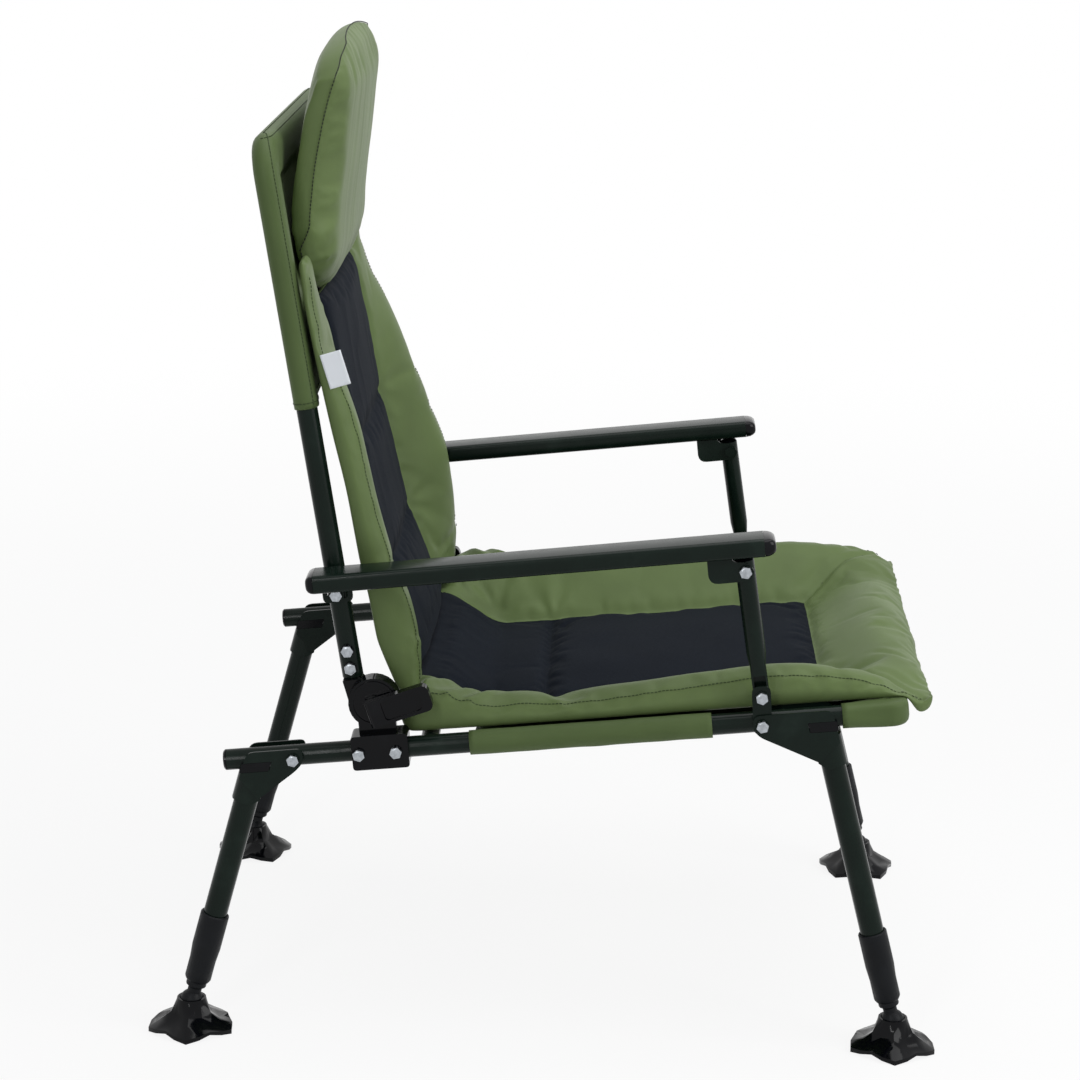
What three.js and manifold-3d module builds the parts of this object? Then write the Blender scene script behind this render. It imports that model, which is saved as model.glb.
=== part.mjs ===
// Carp fishing chair: a reclining folding armchair with a padded mattress and headrest,
// on four splayed telescopic legs with swivelling mud feet.
// Millimetres. +Z is up, the sitter looks along -Y, X runs across, and the sitter's right is -X.
// The origin is on the floor, in the middle of the feet.
import * as THREE from "three";
import { mergeVertices } from "three/addons/utils/BufferGeometryUtils.js";
import Module from "manifold-3d";

const wasm = await Module();
wasm.setup();
const { degToRad, smoothstep, lerp } = THREE.MathUtils;

// Driving dimensions: clearances
const clearance = 0.3; // between pieces that touch, slide or turn on each other
const overrun = 5; // how far a cut runs past the face that it opens
const weld = 1e-4; // vertices closer than this are one
const flatness = 0.02; // detail smaller than this is dropped

// Driving dimensions: tubes
const railRadius = 11;
const rearBarRadius = 9.5;
const railSpacing = 536; // between the axes of the two seat rails
const plugDepth = 14; // how deep an end plug sits in its tube
const tubeWall = 1.5;
const legRadius = 12.5;
const backTubeRadius = 11;
const backInset = 24; // of each back post inside its rail
const backSpacing = railSpacing - 2 * backInset; // between the axes of the two back posts
const armPostRadius = 10;
const armPostOutset = 7; // of each arm post outside its rail
const armPostSpacing = railSpacing + 2 * armPostOutset;

// Driving dimensions: stance, measured along the tilted seat rails from the rear leg's pivot
const seatTiltDeg = 5.92; // the front of the seat is higher
const legSplayDeg = 14.7; // of every leg from the vertical
const railTail = 70.5; // from the rear leg's pivot back to the open end of the rail
const frontBarReach = 624.7; // forward to the front cross tube
const frontOverhang = 139.2; // of that tube ahead of the front leg's pivot
const pivotSpacing = frontBarReach - frontOverhang; // from the rear leg's pivot to the front leg's
const frontBend = 48; // radius of the seat frame's front corners
const rearBarReach = 140; // forward to the rear cross tube
const hingeReach = 88.1; // forward to the recline hinge
const hingeHeight = 50.6; // of the recline hinge above the rail
const backLeanDeg = 9.61; // of the back posts from the vertical

// Driving dimensions: legs
const rearLegLength = 296.4; // from the pivot's level down the leg to the ball
const rearLegOffset = 36.5; // of the leg's axis behind its pivot
const frontLegOffset = 61.6; // of the leg's axis ahead of its pivot
const ballHeight = 31;

// Driving dimensions: arms, as places in the side view
const armPivotUp = 118.2; // from the recline hinge to the armrest's rear pivot
const armPivotLeanDeg = 19.95; // of that line from the vertical, backward
const armReach = 420; // from the rear pivot forward to the front pivot
const armRiseDeg = 6.39; // of the armrest, front end up
const armFrontPivotDrop = 3.4; // of the front pivot below the rear pivot, square to the armrest
const armPostFootHeight = 29.7; // of the arm post's foot pivot above the rail
const armPostFootAhead = 1.5; // of that pivot ahead of the front leg's
const armPostFootReach = pivotSpacing + armPostFootAhead; // forward from the rear leg's pivot

const paint = (color, roughness, metalness) =>
  new THREE.MeshStandardMaterial({ color, roughness, metalness });
const finishes = {
  frame: () => paint(0x1e2a26, 0.35, 0.4),
  black: () => paint(0x14161a, 0.3, 0),
  moulded: () => paint(0x22262c, 0.55, 0),
  green: () => paint(0x65784c, 0.6, 0),
  charcoal: () => paint(0x33363d, 0.7, 0),
  white: () => paint(0xe8e8e6, 0.8, 0),
};

// Closed solids from geometries

function turnedInsideOut(index) {
  const turned = new Uint32Array(index.length);
  for (let i = 0; i < index.length; i += 3) {
    turned[i] = index[i];
    turned[i + 1] = index[i + 2];
    turned[i + 2] = index[i + 1];
  }
  return turned;
}

// A closed geometry, facing either way, as a solid that faces out.
function solid(geometry) {
  const bare = new THREE.BufferGeometry();
  bare.setAttribute("position", geometry.getAttribute("position").clone());
  if (geometry.index) bare.setIndex(geometry.index.clone());
  const merged = mergeVertices(bare, weld);
  const build = (triVerts) =>
    new wasm.Manifold(
      new wasm.Mesh({ numProp: 3, vertProperties: merged.attributes.position.array, triVerts }),
    );
  const triVerts = new Uint32Array(merged.index.array);
  const made = build(triVerts);
  return made.volume() < 0 ? build(turnedInsideOut(triVerts)) : made;
}

const join = (...solids) => solids.reduce((whole, next) => whole.add(next));
const cut = (base, ...tools) => tools.reduce((left, tool) => left.subtract(tool), base);

function geometryOf(made) {
  const mesh = made.asOriginal().simplify(flatness).getMesh();
  const flat = new THREE.BufferGeometry();
  const places = new Float32Array(mesh.vertProperties);
  flat.setAttribute("position", new THREE.BufferAttribute(places, mesh.numProp));
  flat.setIndex(new THREE.BufferAttribute(new Uint32Array(mesh.triVerts), 1));
  const faceted = flat.toNonIndexed();
  faceted.computeVertexNormals();
  return faceted;
}

// A prism whose outline lies in Y and Z and which runs across, from one X to another.
function prismAcross(shape, fromX, toX, curveSegments = 4) {
  const depth = Math.abs(toX - fromX);
  const geometry = new THREE.ExtrudeGeometry(shape, { depth, bevelEnabled: false, curveSegments });
  const basis = new THREE.Matrix4().set(0, 0, 1, Math.min(fromX, toX), 1, 0, 0, 0, 0, 1, 0, 0, 0, 0, 0, 1);
  return solid(geometry.applyMatrix4(basis));
}

// A prism whose outline lies in X and Y and which stands from one Z to another.
function prismUp(shape, fromZ, toZ, curveSegments = 4) {
  const depth = Math.abs(toZ - fromZ);
  const geometry = new THREE.ExtrudeGeometry(shape, { depth, bevelEnabled: false, curveSegments });
  return solid(geometry.translate(0, 0, Math.min(fromZ, toZ)));
}

function rodAcross(radius, fromX, toX, y = 0, z = 0, sides = 12) {
  const geometry = new THREE.CylinderGeometry(radius, radius, Math.abs(toX - fromX), sides);
  geometry.rotateZ(Math.PI / 2);
  return solid(geometry.translate((fromX + toX) / 2, y, z));
}

function rodUp(radius, fromZ, toZ, x = 0, y = 0, sides = 16) {
  const geometry = new THREE.CylinderGeometry(radius, radius, Math.abs(toZ - fromZ), sides);
  geometry.rotateX(Math.PI / 2);
  return solid(geometry.translate(x, y, (fromZ + toZ) / 2));
}

function rodAlong(radius, fromY, toY, x = 0, z = 0, sides = 16) {
  const geometry = new THREE.CylinderGeometry(radius, radius, Math.abs(toY - fromY), sides);
  return solid(geometry.translate(x, (fromY + toY) / 2, z));
}

function box(fromX, toX, fromY, toY, fromZ, toZ) {
  const spans = [toX - fromX, toY - fromY, toZ - fromZ].map(Math.abs);
  const geometry = new THREE.BoxGeometry(...spans);
  return solid(geometry.translate((fromX + toX) / 2, (fromY + toY) / 2, (fromZ + toZ) / 2));
}

// A solid of revolution about Z. The profile is [radius, height] pairs from one end of the axis to the other.
function turned(profile, sides = 20) {
  const points = profile.map(([radius, height]) => new THREE.Vector2(radius, height));
  return solid(new THREE.LatheGeometry(points, sides).rotateX(Math.PI / 2));
}

// A shape with a round of its own at each corner. Corners are [a, b, radius].
function roundedShape(corners) {
  const shape = new THREE.Shape();
  corners.forEach(([a, b, radius], i) => {
    const here = new THREE.Vector2(a, b);
    const before = new THREE.Vector2(...corners.at(i - 1).slice(0, 2)).sub(here);
    const after = new THREE.Vector2(...corners[(i + 1) % corners.length].slice(0, 2)).sub(here);
    const start = here.clone().addScaledVector(before.normalize(), radius);
    const end = here.clone().addScaledVector(after.normalize(), radius);
    if (i === 0) shape.moveTo(start.x, start.y);
    else shape.lineTo(start.x, start.y);
    if (radius > 0) shape.quadraticCurveTo(here.x, here.y, end.x, end.y);
  });
  shape.closePath();
  return shape;
}

// A path that an extrusion follows exactly from point to point.
class PointPath extends THREE.Curve {
  constructor(points) {
    super();
    this.points = points;
  }
  getPoint(t, target = new THREE.Vector3()) {
    const along = Math.min(t, 1) * (this.points.length - 1);
    const i = Math.min(Math.floor(along), this.points.length - 2);
    return target.copy(this.points[i]).lerp(this.points[i + 1], along - i);
  }
  getPointAt(u, target) {
    return this.getPoint(u, target);
  }
  getTangentAt(u, target = new THREE.Vector3()) {
    const last = this.points.length - 1;
    const i = Math.round(u * last);
    const step = (from) => this.points[from + 1].clone().sub(this.points[from]).normalize();
    return target.copy(step(Math.min(i, last - 1))).add(step(Math.max(i - 1, 0))).normalize();
  }
}

function tubeAlong(points, radius, sides = 14) {
  const section = new THREE.Shape();
  for (let i = 0; i < sides; i += 1) {
    const angle = (2 * Math.PI * i) / sides;
    const place = [radius * Math.cos(angle), radius * Math.sin(angle)];
    if (i === 0) section.moveTo(...place);
    else section.lineTo(...place);
  }
  section.closePath();
  const extrudePath = new PointPath(points);
  const settings = { steps: points.length - 1, extrudePath, curveSegments: 1 };
  return solid(new THREE.ExtrudeGeometry(section, settings));
}

// A closed skin over a row of rings with the same number of points, closed with a fan at each end.
function loftRings(rings) {
  const count = rings[0].length;
  const points = rings.flat();
  const index = [];
  for (let r = 0; r < rings.length - 1; r += 1) {
    for (let i = 0; i < count; i += 1) {
      const a = r * count + i;
      const b = r * count + ((i + 1) % count);
      index.push(a, b, a + count, b, b + count, a + count);
    }
  }
  const fan = (ring, first, swap) => {
    const middle = ring.reduce((sum, p) => sum.add(p), new THREE.Vector3()).divideScalar(count);
    const centre = points.push(middle) - 1;
    for (let i = 0; i < count; i += 1) {
      const a = first + i;
      const b = first + ((i + 1) % count);
      index.push(centre, swap ? a : b, swap ? b : a);
    }
  };
  fan(rings[0], 0, false);
  fan(rings.at(-1), (rings.length - 1) * count, true);
  const geometry = new THREE.BufferGeometry().setFromPoints(points);
  geometry.setIndex(index);
  return solid(geometry);
}

// Bolts that run across, with a hexagon head on a washer outside and a nut inside
const bolt = {
  radius: 3,
  head: 6.2,
  headHeight: 4,
  washer: 7.2,
  washerHeight: 1,
  nutHeight: 4.5,
  sides: 8,
  washerSides: 12,
};

function boltAcross(headFace, nutFace, y, z, size = bolt) {
  const outward = Math.sign(headFace - nutFace);
  const hexagon = 6;
  const headBase = headFace + outward * size.washerHeight;
  const nutEnd = nutFace - outward * size.nutHeight;
  return join(
    rodAcross(size.radius, headBase, nutEnd, y, z, size.sides),
    rodAcross(size.washer, headFace, headBase, y, z, size.washerSides),
    rodAcross(size.head, headBase, headBase + outward * size.headHeight, y, z, hexagon),
    rodAcross(size.head, nutFace, nutEnd, y, z, hexagon),
  );
}

const boltHole = (fromX, toX, y, z, size = bolt) =>
  rodAcross(size.radius + clearance, fromX, toX, y, z, size.sides);

// The scene: groups for the places, meshes for the pieces
const chair = new THREE.Group();

function addGroup(parent, name, x, y, z, turnX = 0) {
  const group = new THREE.Group();
  group.name = name;
  group.position.set(x, y, z);
  group.rotation.x = turnX;
  parent.add(group);
  return group;
}

function addPiece(parent, name, made, finish) {
  const mesh = new THREE.Mesh(geometryOf(made), finishes[finish]());
  mesh.name = name;
  parent.add(mesh);
  return mesh;
}

const seatTilt = degToRad(seatTiltDeg);
const legSplay = degToRad(legSplayDeg);
const railX = -railSpacing / 2; // right-hand side, as all paired pieces are modelled
const sides = [
  ["right", 1],
  ["left", -1],
];

// Where a leg puts its ball, from its pivot: out from the pivot, and down
const ballOut = (offset, length) => offset * Math.cos(legSplay) + length * Math.sin(legSplay);
const ballDown = (offset, length) => length * Math.cos(legSplay) - offset * Math.sin(legSplay);
const rearPivotHeight = ballHeight + ballDown(rearLegOffset, rearLegLength);
const frontPivotHeight = rearPivotHeight + pivotSpacing * Math.sin(seatTilt);
const frontLegLength =
  (frontPivotHeight - ballHeight + frontLegOffset * Math.sin(legSplay)) / Math.cos(legSplay);
const footToFoot =
  ballOut(rearLegOffset, rearLegLength) +
  pivotSpacing * Math.cos(seatTilt) +
  ballOut(frontLegOffset, frontLegLength);
const rearPivotY = footToFoot / 2 - ballOut(rearLegOffset, rearLegLength);

const seat = addGroup(chair, "seat", 0, rearPivotY, rearPivotHeight, -seatTilt);

// Seat frame: one bent tube round the sides and front, a rear cross tube, and its end plugs

function arc(centreX, centreY, radius, fromDeg, toDeg, steps) {
  const points = [];
  for (let i = 0; i <= steps; i += 1) {
    const angle = degToRad(lerp(fromDeg, toDeg, i / steps));
    points.push(new THREE.Vector3(centreX + radius * Math.cos(angle), centreY + radius * Math.sin(angle), 0));
  }
  return points;
}

const frontBarY = -frontBarReach;
const bendSteps = 6;
const railPath = (tailY) => [
  new THREE.Vector3(railX, tailY, 0),
  ...arc(railX + frontBend, frontBarY + frontBend, frontBend, 180, 270, bendSteps),
  ...arc(-railX - frontBend, frontBarY + frontBend, frontBend, 270, 360, bendSteps),
  new THREE.Vector3(-railX, tailY, 0),
];
const clampBoltOffsets = [19.6, -18.9]; // of the hinge clamp's two bolts from the hinge, along the rail
const hingeY = -hingeReach;

function seatFrame() {
  const bore = railRadius - tubeWall;
  const holes = [railX, -railX].flatMap((x) => {
    const across = [x - railRadius - overrun, x + railRadius + overrun];
    return [
      boltHole(...across, 0, 0),
      boltHole(...across, -pivotSpacing, 0),
      ...clampBoltOffsets.map((offset) => boltHole(...across, hingeY + offset, 0)),
      rodAlong(bore, railTail - plugDepth, railTail + overrun, x, 0),
    ];
  });
  const rearBar = rodAcross(rearBarRadius, railX, -railX, -rearBarReach, 0, 14);
  return cut(join(tubeAlong(railPath(railTail), railRadius), rearBar), ...holes);
}
addPiece(seat, "seat_frame", seatFrame(), "frame");

const railPlug = { lip: 3.2, crown: 1.6 };
const railPlugProfile = [
  [0, -plugDepth + clearance],
  [railRadius - tubeWall - clearance, -plugDepth + clearance],
  [railRadius - tubeWall - clearance, clearance],
  [railRadius, clearance],
  [railRadius, railPlug.lip - railPlug.crown],
  [railRadius - railPlug.crown, railPlug.lip],
  [0, railPlug.lip],
];
for (const [side, sign] of sides) {
  const at = addGroup(seat, "", sign * railX, railTail, 0, -Math.PI / 2);
  addPiece(at, `rail_end_cap_${side}`, turned(railPlugProfile, 14), "black");
}

// Legs: folded bracket, tube, rail saddle, clamping sleeve, telescopic stem and foot.
// They are modelled with Y pointing outward from the pivot and Z up the leg.
// A front leg is a mirrored one.
const bracket = {
  inside: 14.6, // from the middle to the inner face of each cheek
  sheet: 2.2,
  lobe: 11,
  lobeRound: 6,
  drop: 62,
  wrapTop: 31,
  lap: 5,
  corner: 8,
  edgeInset: 3,
  tightCorner: 1,
  throatInset: 4,
  throatDrop: 46,
  heel: 12, // from the leg's axis in to the lower corner of the cheeks
  heelRise: 9,
};
const slot = { back: 15.7, height: 11, below: 6, corner: 1.5 };
const saddle = { length: 29, floor: 3.2, ear: 1.2, spigot: 16 };
const sleeve = {
  length: 78.6,
  grip: 44,
  radius: 15.2,
  waist: 14,
  lip: 1.2,
  shoulder: 39,
  taperEnd: 54,
  foot: 3,
  footInset: 1.8,
  fromBall: 24.6,
};
const stem = {
  radius: 9,
  inside: 150,
  collar: 10.8,
  collarHeight: 8.2,
  neck: 7.4,
  ball: 13,
  pinHole: 2.6,
  chamfer: 1.4,
};

const legKinds = [
  {
    end: "rear",
    out: 1,
    y: 0,
    offset: rearLegOffset,
    length: rearLegLength,
    lean: legSplay + seatTilt,
  },
  {
    end: "front",
    out: -1,
    y: -pivotSpacing,
    offset: frontLegOffset,
    length: frontLegLength,
    lean: legSplay - seatTilt,
  },
];

// How far below the pivot the rail's axis is, at a place outward along the leg's Y.
const railDrop = (kind, out) => out * Math.tan(kind.lean);
const squareDrop = (kind) => railRadius / Math.cos(kind.lean);
const tubeTop = (kind) =>
  -railDrop(kind, kind.offset + legRadius) - squareDrop(kind) - saddle.floor;

function legBracket(kind) {
  const { inside, sheet, lobe, lobeRound, drop, lap } = bracket;
  const { corner, edgeInset, tightCorner, heel, heelRise } = bracket;
  const outer = inside + sheet;
  const wrapInside = legRadius + clearance;
  const wrapOutside = wrapInside + sheet;
  const edge = kind.offset + wrapOutside;
  const topAt = (out) => -railDrop(kind, out) + lobe / Math.cos(kind.lean);
  const cheek = roundedShape([
    [-lobe, 0, lobeRound],
    [-lobeRound, topAt(-lobeRound), lobeRound],
    [edge - edgeInset, topAt(edge - edgeInset), corner],
    [edge - edgeInset, -bracket.wrapTop - lap, tightCorner],
    [kind.offset - bracket.throatInset, -bracket.throatDrop, corner / 2],
    [kind.offset - heel, -drop + heelRise, tightCorner],
    [-lobeRound, -lobe, lobeRound],
  ]);
  const wrapPlan = new THREE.Shape();
  const inner = kind.offset - heel - lap / 2;
  wrapPlan.moveTo(wrapOutside, inner);
  wrapPlan.lineTo(wrapOutside, kind.offset);
  wrapPlan.absarc(0, kind.offset, wrapOutside, 0, Math.PI, false);
  wrapPlan.lineTo(-wrapOutside, inner);
  wrapPlan.lineTo(-wrapInside, inner);
  wrapPlan.lineTo(-wrapInside, kind.offset);
  wrapPlan.absarc(0, kind.offset, wrapInside, Math.PI, 0, true);
  wrapPlan.lineTo(wrapInside, inner);
  wrapPlan.closePath();
  const underRail = -railDrop(kind, edge + overrun) - squareDrop(kind) - clearance;
  const wrapTop = Math.min(-bracket.wrapTop, underRail);
  const wrapSide = roundedShape([
    [inner - clearance, -bracket.wrapTop + lap, 0],
    [kind.offset, -bracket.wrapTop + lap, 0],
    [edge + overrun, wrapTop, 0],
    [edge + overrun, -drop - overrun, 0],
    [kind.offset - heel / 2, -drop, corner / 2],
    [inner - clearance, -drop + heelRise, 0],
  ]);
  const wrap = prismUp(wrapPlan, -drop, -bracket.wrapTop + lap).intersect(
    prismAcross(wrapSide, -wrapOutside - overrun, wrapOutside + overrun),
  );
  const slotTop = (out) => -railDrop(kind, out) - slot.below + slot.height / 2;
  const slotStart = kind.offset - slot.back - clearance;
  const slotShape = roundedShape([
    [slotStart, slotTop(slotStart), slot.corner],
    [edge + overrun, slotTop(edge + overrun), 0],
    [edge + overrun, slotTop(edge + overrun) - slot.height, 0],
    [slotStart, slotTop(slotStart) - slot.height, slot.corner],
  ]);
  const cheeks = join(
    wrap,
    prismAcross(cheek, -outer, -inside),
    prismAcross(cheek, inside, outer),
  );
  const opened = cut(cheeks, prismAcross(slotShape, -outer - overrun, outer + overrun));
  return join(opened, boltAcross(-outer, outer, 0, 0));
}

function legTube(kind) {
  const foot = sleeveTop(kind) - sleeve.grip;
  const outside = rodUp(legRadius, foot, tubeTop(kind), 0, kind.offset);
  const ends = [foot - overrun, tubeTop(kind) + overrun];
  return cut(outside, rodUp(legRadius - tubeWall, ...ends, 0, kind.offset));
}
const sleeveBottom = (kind) => sleeve.fromBall - kind.length;
const sleeveTop = (kind) => sleeveBottom(kind) + sleeve.length;

// The saddle stops the leg under the rail. Its ears fill the bracket's slots and its spigot plugs the tube.
function legSaddle(kind) {
  const half = bracket.inside - clearance;
  const start = kind.offset - slot.back + clearance;
  const end = start + saddle.length;
  const top = (out) => -railDrop(kind, out) - slot.below + slot.height / 2 - clearance;
  const floor = tubeTop(kind) + clearance;
  const wrapTop = -bracket.wrapTop + bracket.lap + clearance;
  const low = (out) => Math.max(top(out) - slot.height, floor, wrapTop);
  const body = prismAcross(
    roundedShape([
      [start, top(start), 0],
      [end, top(end), 0],
      [end, Math.min(low(end), top(end) - clearance), 0],
      [kind.offset, low(end), 0],
      [start, low(start), 0],
    ]),
    -half,
    half,
  );
  const neck = rodUp(legRadius, floor, -railDrop(kind, kind.offset), 0, kind.offset);
  const ear = prismAcross(
    roundedShape([
      [start, top(start), 0],
      [end, top(end), slot.corner],
      [end, top(end) - slot.height + clearance * 2, slot.corner],
      [start, top(start) - slot.height + clearance * 2, 0],
    ]),
    -bracket.inside - bracket.sheet,
    bracket.inside + bracket.sheet,
  );
  const run = 2 * (kind.offset + saddle.length + overrun);
  const groove = new THREE.CylinderGeometry(railRadius + clearance, railRadius + clearance, run, 16);
  const opening = new THREE.BoxGeometry(2 * (railRadius + clearance), run, 4 * railRadius);
  opening.translate(0, 0, 2 * railRadius);
  const aligned = (geometry) => solid(geometry.rotateX(-kind.lean));
  const spigotRadius = legRadius - tubeWall - clearance;
  const spigot = rodUp(spigotRadius, tubeTop(kind) - saddle.spigot, floor + saddle.ear, 0, kind.offset);
  return cut(join(body, ear, neck, spigot), aligned(groove), aligned(opening));
}

function clampSleeve() {
  const { length, grip, radius, waist, lip, shoulder, taperEnd, foot, footInset } = sleeve;
  const bore = legRadius + clearance;
  const rodBore = stem.radius + clearance;
  const profile = [
    [bore, length],
    [radius - lip, length],
    [radius, length - lip],
    [radius, length - shoulder],
    [waist, length - taperEnd],
    [waist, foot],
    [waist - footInset, 0],
    [rodBore, 0],
    [rodBore, length - grip - clearance],
    [bore, length - grip - clearance],
    [bore, length],
  ];
  return turned(profile, 18);
}

function footStem() {
  const { radius, inside, collar, collarHeight, neck, ball, pinHole, chamfer } = stem;
  const collarTop = sleeve.fromBall - clearance;
  const neckAngle = Math.asin(neck / ball);
  const arcSteps = 6;
  const ballProfile = [];
  for (let i = 0; i <= arcSteps; i += 1) {
    const angle = lerp(neckAngle, Math.PI, i / arcSteps);
    ballProfile.push([i === arcSteps ? 0 : ball * Math.sin(angle), ball * Math.cos(angle)]);
  }
  const made = turned(
    [
      [0, collarTop + inside],
      [radius - chamfer, collarTop + inside],
      [radius, collarTop + inside - chamfer],
      [radius, collarTop],
      [collar, collarTop],
      [collar, collarTop - collarHeight + 2 * chamfer],
      [neck, collarTop - collarHeight],
      ...ballProfile,
    ],
    14,
  );
  return cut(made, rodAcross(pinHole, -ball - overrun, ball + overrun, 0, 0, 8));
}

// A swivelling mud foot: a five-lobed skirt that rises in facets to the socket of the ball.
const foot = { lobes: 5, valleyShare: 0.86, socket: 16.2, edgeSteps: 4 };
const footScrew = { radius: 2.9, out: 0.9, drop: 7.5 };
// Rings of the foot from the ground up: radius, height in the middle of a lobe, height in a valley.
const footRings = [
  [23, 0, 0],
  [31, 0, 2],
  [46.5, 0, 5.5],
  [46.5, 5, 9],
  [33.5, 13, 9.3],
  [22.3, 20.5, 17],
  [16.2, 32.4, 31.4],
  [15.3, 35.2, 35.2],
];

function mudFoot() {
  const around = foot.lobes * foot.edgeSteps;
  const made = footRings.map(([radius, lobeHeight, valleyHeight]) => {
    const ring = [];
    for (let i = 0; i < around; i += 1) {
      const angle = (2 * Math.PI * i) / around;
      const lobe = (1 + Math.cos(foot.lobes * (angle - Math.PI))) / 2;
      const waisted = radius > foot.socket ? lerp(foot.valleyShare, 1, lobe) : 1;
      const point = new THREE.Vector3(Math.cos(angle), Math.sin(angle), 0);
      point.multiplyScalar(radius * waisted);
      point.z = lerp(valleyHeight, lobeHeight, lobe) - ballHeight;
      ring.push(point);
    }
    return ring;
  });
  const skirt = loftRings(made);
  const roomForBall = stem.ball + 2 * clearance; // the socket's mouth is narrower than the ball
  const cavity = solid(new THREE.SphereGeometry(roomForBall, 16, 10));
  const screwFrom = -foot.socket - 2 * footScrew.out;
  const screwTo = -foot.socket + 2 * footScrew.out;
  const screw = rodAcross(footScrew.radius, screwFrom, screwTo, 0, -footScrew.drop, 10);
  return join(cut(skirt, cavity), cut(screw, cavity));
}

const shared = { sleeve: clampSleeve(), stem: footStem(), foot: mudFoot() };
for (const kind of legKinds) {
  const pieces = { bracket: legBracket(kind), tube: legTube(kind), saddle: legSaddle(kind) };
  for (const [side, sign] of sides) {
    const at = addGroup(seat, `leg_${kind.end}_${side}`, sign * railX, kind.y, 0, kind.out * kind.lean);
    at.scale.set(sign, kind.out, 1);
    addPiece(at, `leg_bracket_${kind.end}_${side}`, pieces.bracket, "frame");
    addPiece(at, `leg_tube_${kind.end}_${side}`, pieces.tube, "frame");
    addPiece(at, `leg_saddle_${kind.end}_${side}`, pieces.saddle, "black");
    const grip = addGroup(at, "", 0, kind.offset, sleeveBottom(kind));
    addPiece(grip, `leg_sleeve_${kind.end}_${side}`, shared.sleeve, "moulded");
    const ball = addGroup(at, `ball_${kind.end}_${side}`, 0, kind.offset, -kind.length);
    addPiece(ball, `foot_stem_${kind.end}_${side}`, shared.stem, "moulded");
    const level = addGroup(ball, "", 0, 0, 0, -legSplay);
    addPiece(level, `mud_foot_${kind.end}_${side}`, shared.foot, "black");
  }
}

// Recline hinges: a clamp on the rail with the outer disc, an arm with the inner disc, and a cam lever
const hinge = addGroup(seat, "hinge", 0, hingeY, hingeHeight);
const backX = -backSpacing / 2;
const discOutset = 4; // of the outer disc's face outside the rail's axis
const disc = {
  radius: 26.5,
  thickness: 10,
  outerFace: railX - discOutset,
  rim: 2.2,
  rimHeight: 1.4,
  rimInset: 3,
  hub: 9,
};
const clamp = {
  front: 32,
  rear: 27,
  top: 19,
  bottom: 17.5,
  half: 15,
  bevel: 4,
  neckFront: 21,
  neckRear: 18,
  neckTop: -12,
};

function hingeClamp() {
  const rail = { y: 0, z: -hingeHeight };
  const profile = roundedShape([
    [-clamp.front, rail.z - clamp.bottom, clamp.bevel],
    [clamp.rear, rail.z - clamp.bottom, clamp.bevel],
    [clamp.rear, rail.z + clamp.top, clamp.bevel],
    [-clamp.front, rail.z + clamp.top, clamp.bevel],
  ]);
  const block = prismAcross(profile, railX - clamp.half, railX + clamp.half);
  const discInner = disc.outerFace + disc.thickness;
  const neck = prismAcross(
    roundedShape([
      [-clamp.neckFront, rail.z + clamp.top - clamp.bevel, 0],
      [clamp.neckRear, rail.z + clamp.top - clamp.bevel, 0],
      [clamp.neckRear, clamp.neckTop, 0],
      [-clamp.neckFront, clamp.neckTop, 0],
    ]),
    disc.outerFace,
    discInner,
  );
  const plate = rodAcross(disc.radius, disc.outerFace, discInner, 0, 0, 28);
  const rimRadius = disc.radius - disc.rimInset;
  const rimFace = disc.outerFace - disc.rimHeight;
  const rimOuter = rodAcross(rimRadius, rimFace, discInner, 0, 0, 24);
  const rimInner = rodAcross(rimRadius - disc.rim, rimFace - overrun, disc.outerFace, 0, 0, 24);
  const hub = rodAcross(disc.hub, rimFace, discInner, 0, 0, 14);
  const boreEnds = [-clamp.front - overrun, clamp.rear + overrun];
  const bore = rodAlong(railRadius + clearance, ...boreEnds, railX, rail.z, 14);
  const cheeks = [railX - clamp.half, railX + clamp.half];
  const bolts = clampBoltOffsets.map((offset) => boltAcross(...cheeks, offset, rail.z));
  return join(cut(join(block, neck, plate, cut(rimOuter, rimInner), hub), bore), ...bolts);
}

// The back leans from the hinge. Its group has Z up the posts and Y backward.
const back = addGroup(hinge, "back", 0, 0, 0, seatTilt - degToRad(backLeanDeg));
const postBack = 20; // from the hinge back to the posts' axis
const postFoot = 25; // from the hinge up to the posts' lower end
const postBolts = [36, 55];
const tongue = { thickness: 5, depth: 42, width: 16.4, corner: 3, root: 10 };
const web = { front: -8, rear: 16, low: -13, corner: 4 };

function hingeArm() {
  const discInner = disc.outerFace + disc.thickness;
  const face = discInner + clearance;
  const plate = rodAcross(disc.radius, face, face + disc.thickness, 0, 0, 28);
  const armEnd = postFoot - clearance;
  const webPlate = prismAcross(
    roundedShape([
      [web.front, 0, 0],
      [web.rear, web.low, 0],
      [disc.radius, 0, web.corner],
      [postBack + backTubeRadius - tubeWall, armEnd, 0],
      [postBack - backTubeRadius + tubeWall, armEnd, 0],
    ]),
    face,
    backX + tongue.thickness,
  );
  const blade = prismAcross(
    roundedShape([
      [postBack - tongue.width / 2, armEnd - tongue.root, 0],
      [postBack + tongue.width / 2, armEnd - tongue.root, 0],
      [postBack + tongue.width / 2, armEnd + tongue.depth, tongue.corner],
      [postBack - tongue.width / 2, armEnd + tongue.depth, tongue.corner],
    ]),
    backX - tongue.thickness / 2,
    backX + tongue.thickness / 2,
  );
  const outside = backX - backTubeRadius - clearance;
  const inside = backX + backTubeRadius + clearance;
  const bolts = postBolts.map((height) => boltAcross(outside, inside, postBack, height));
  return join(plate, webPlate, blade, ...bolts);
}

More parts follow.
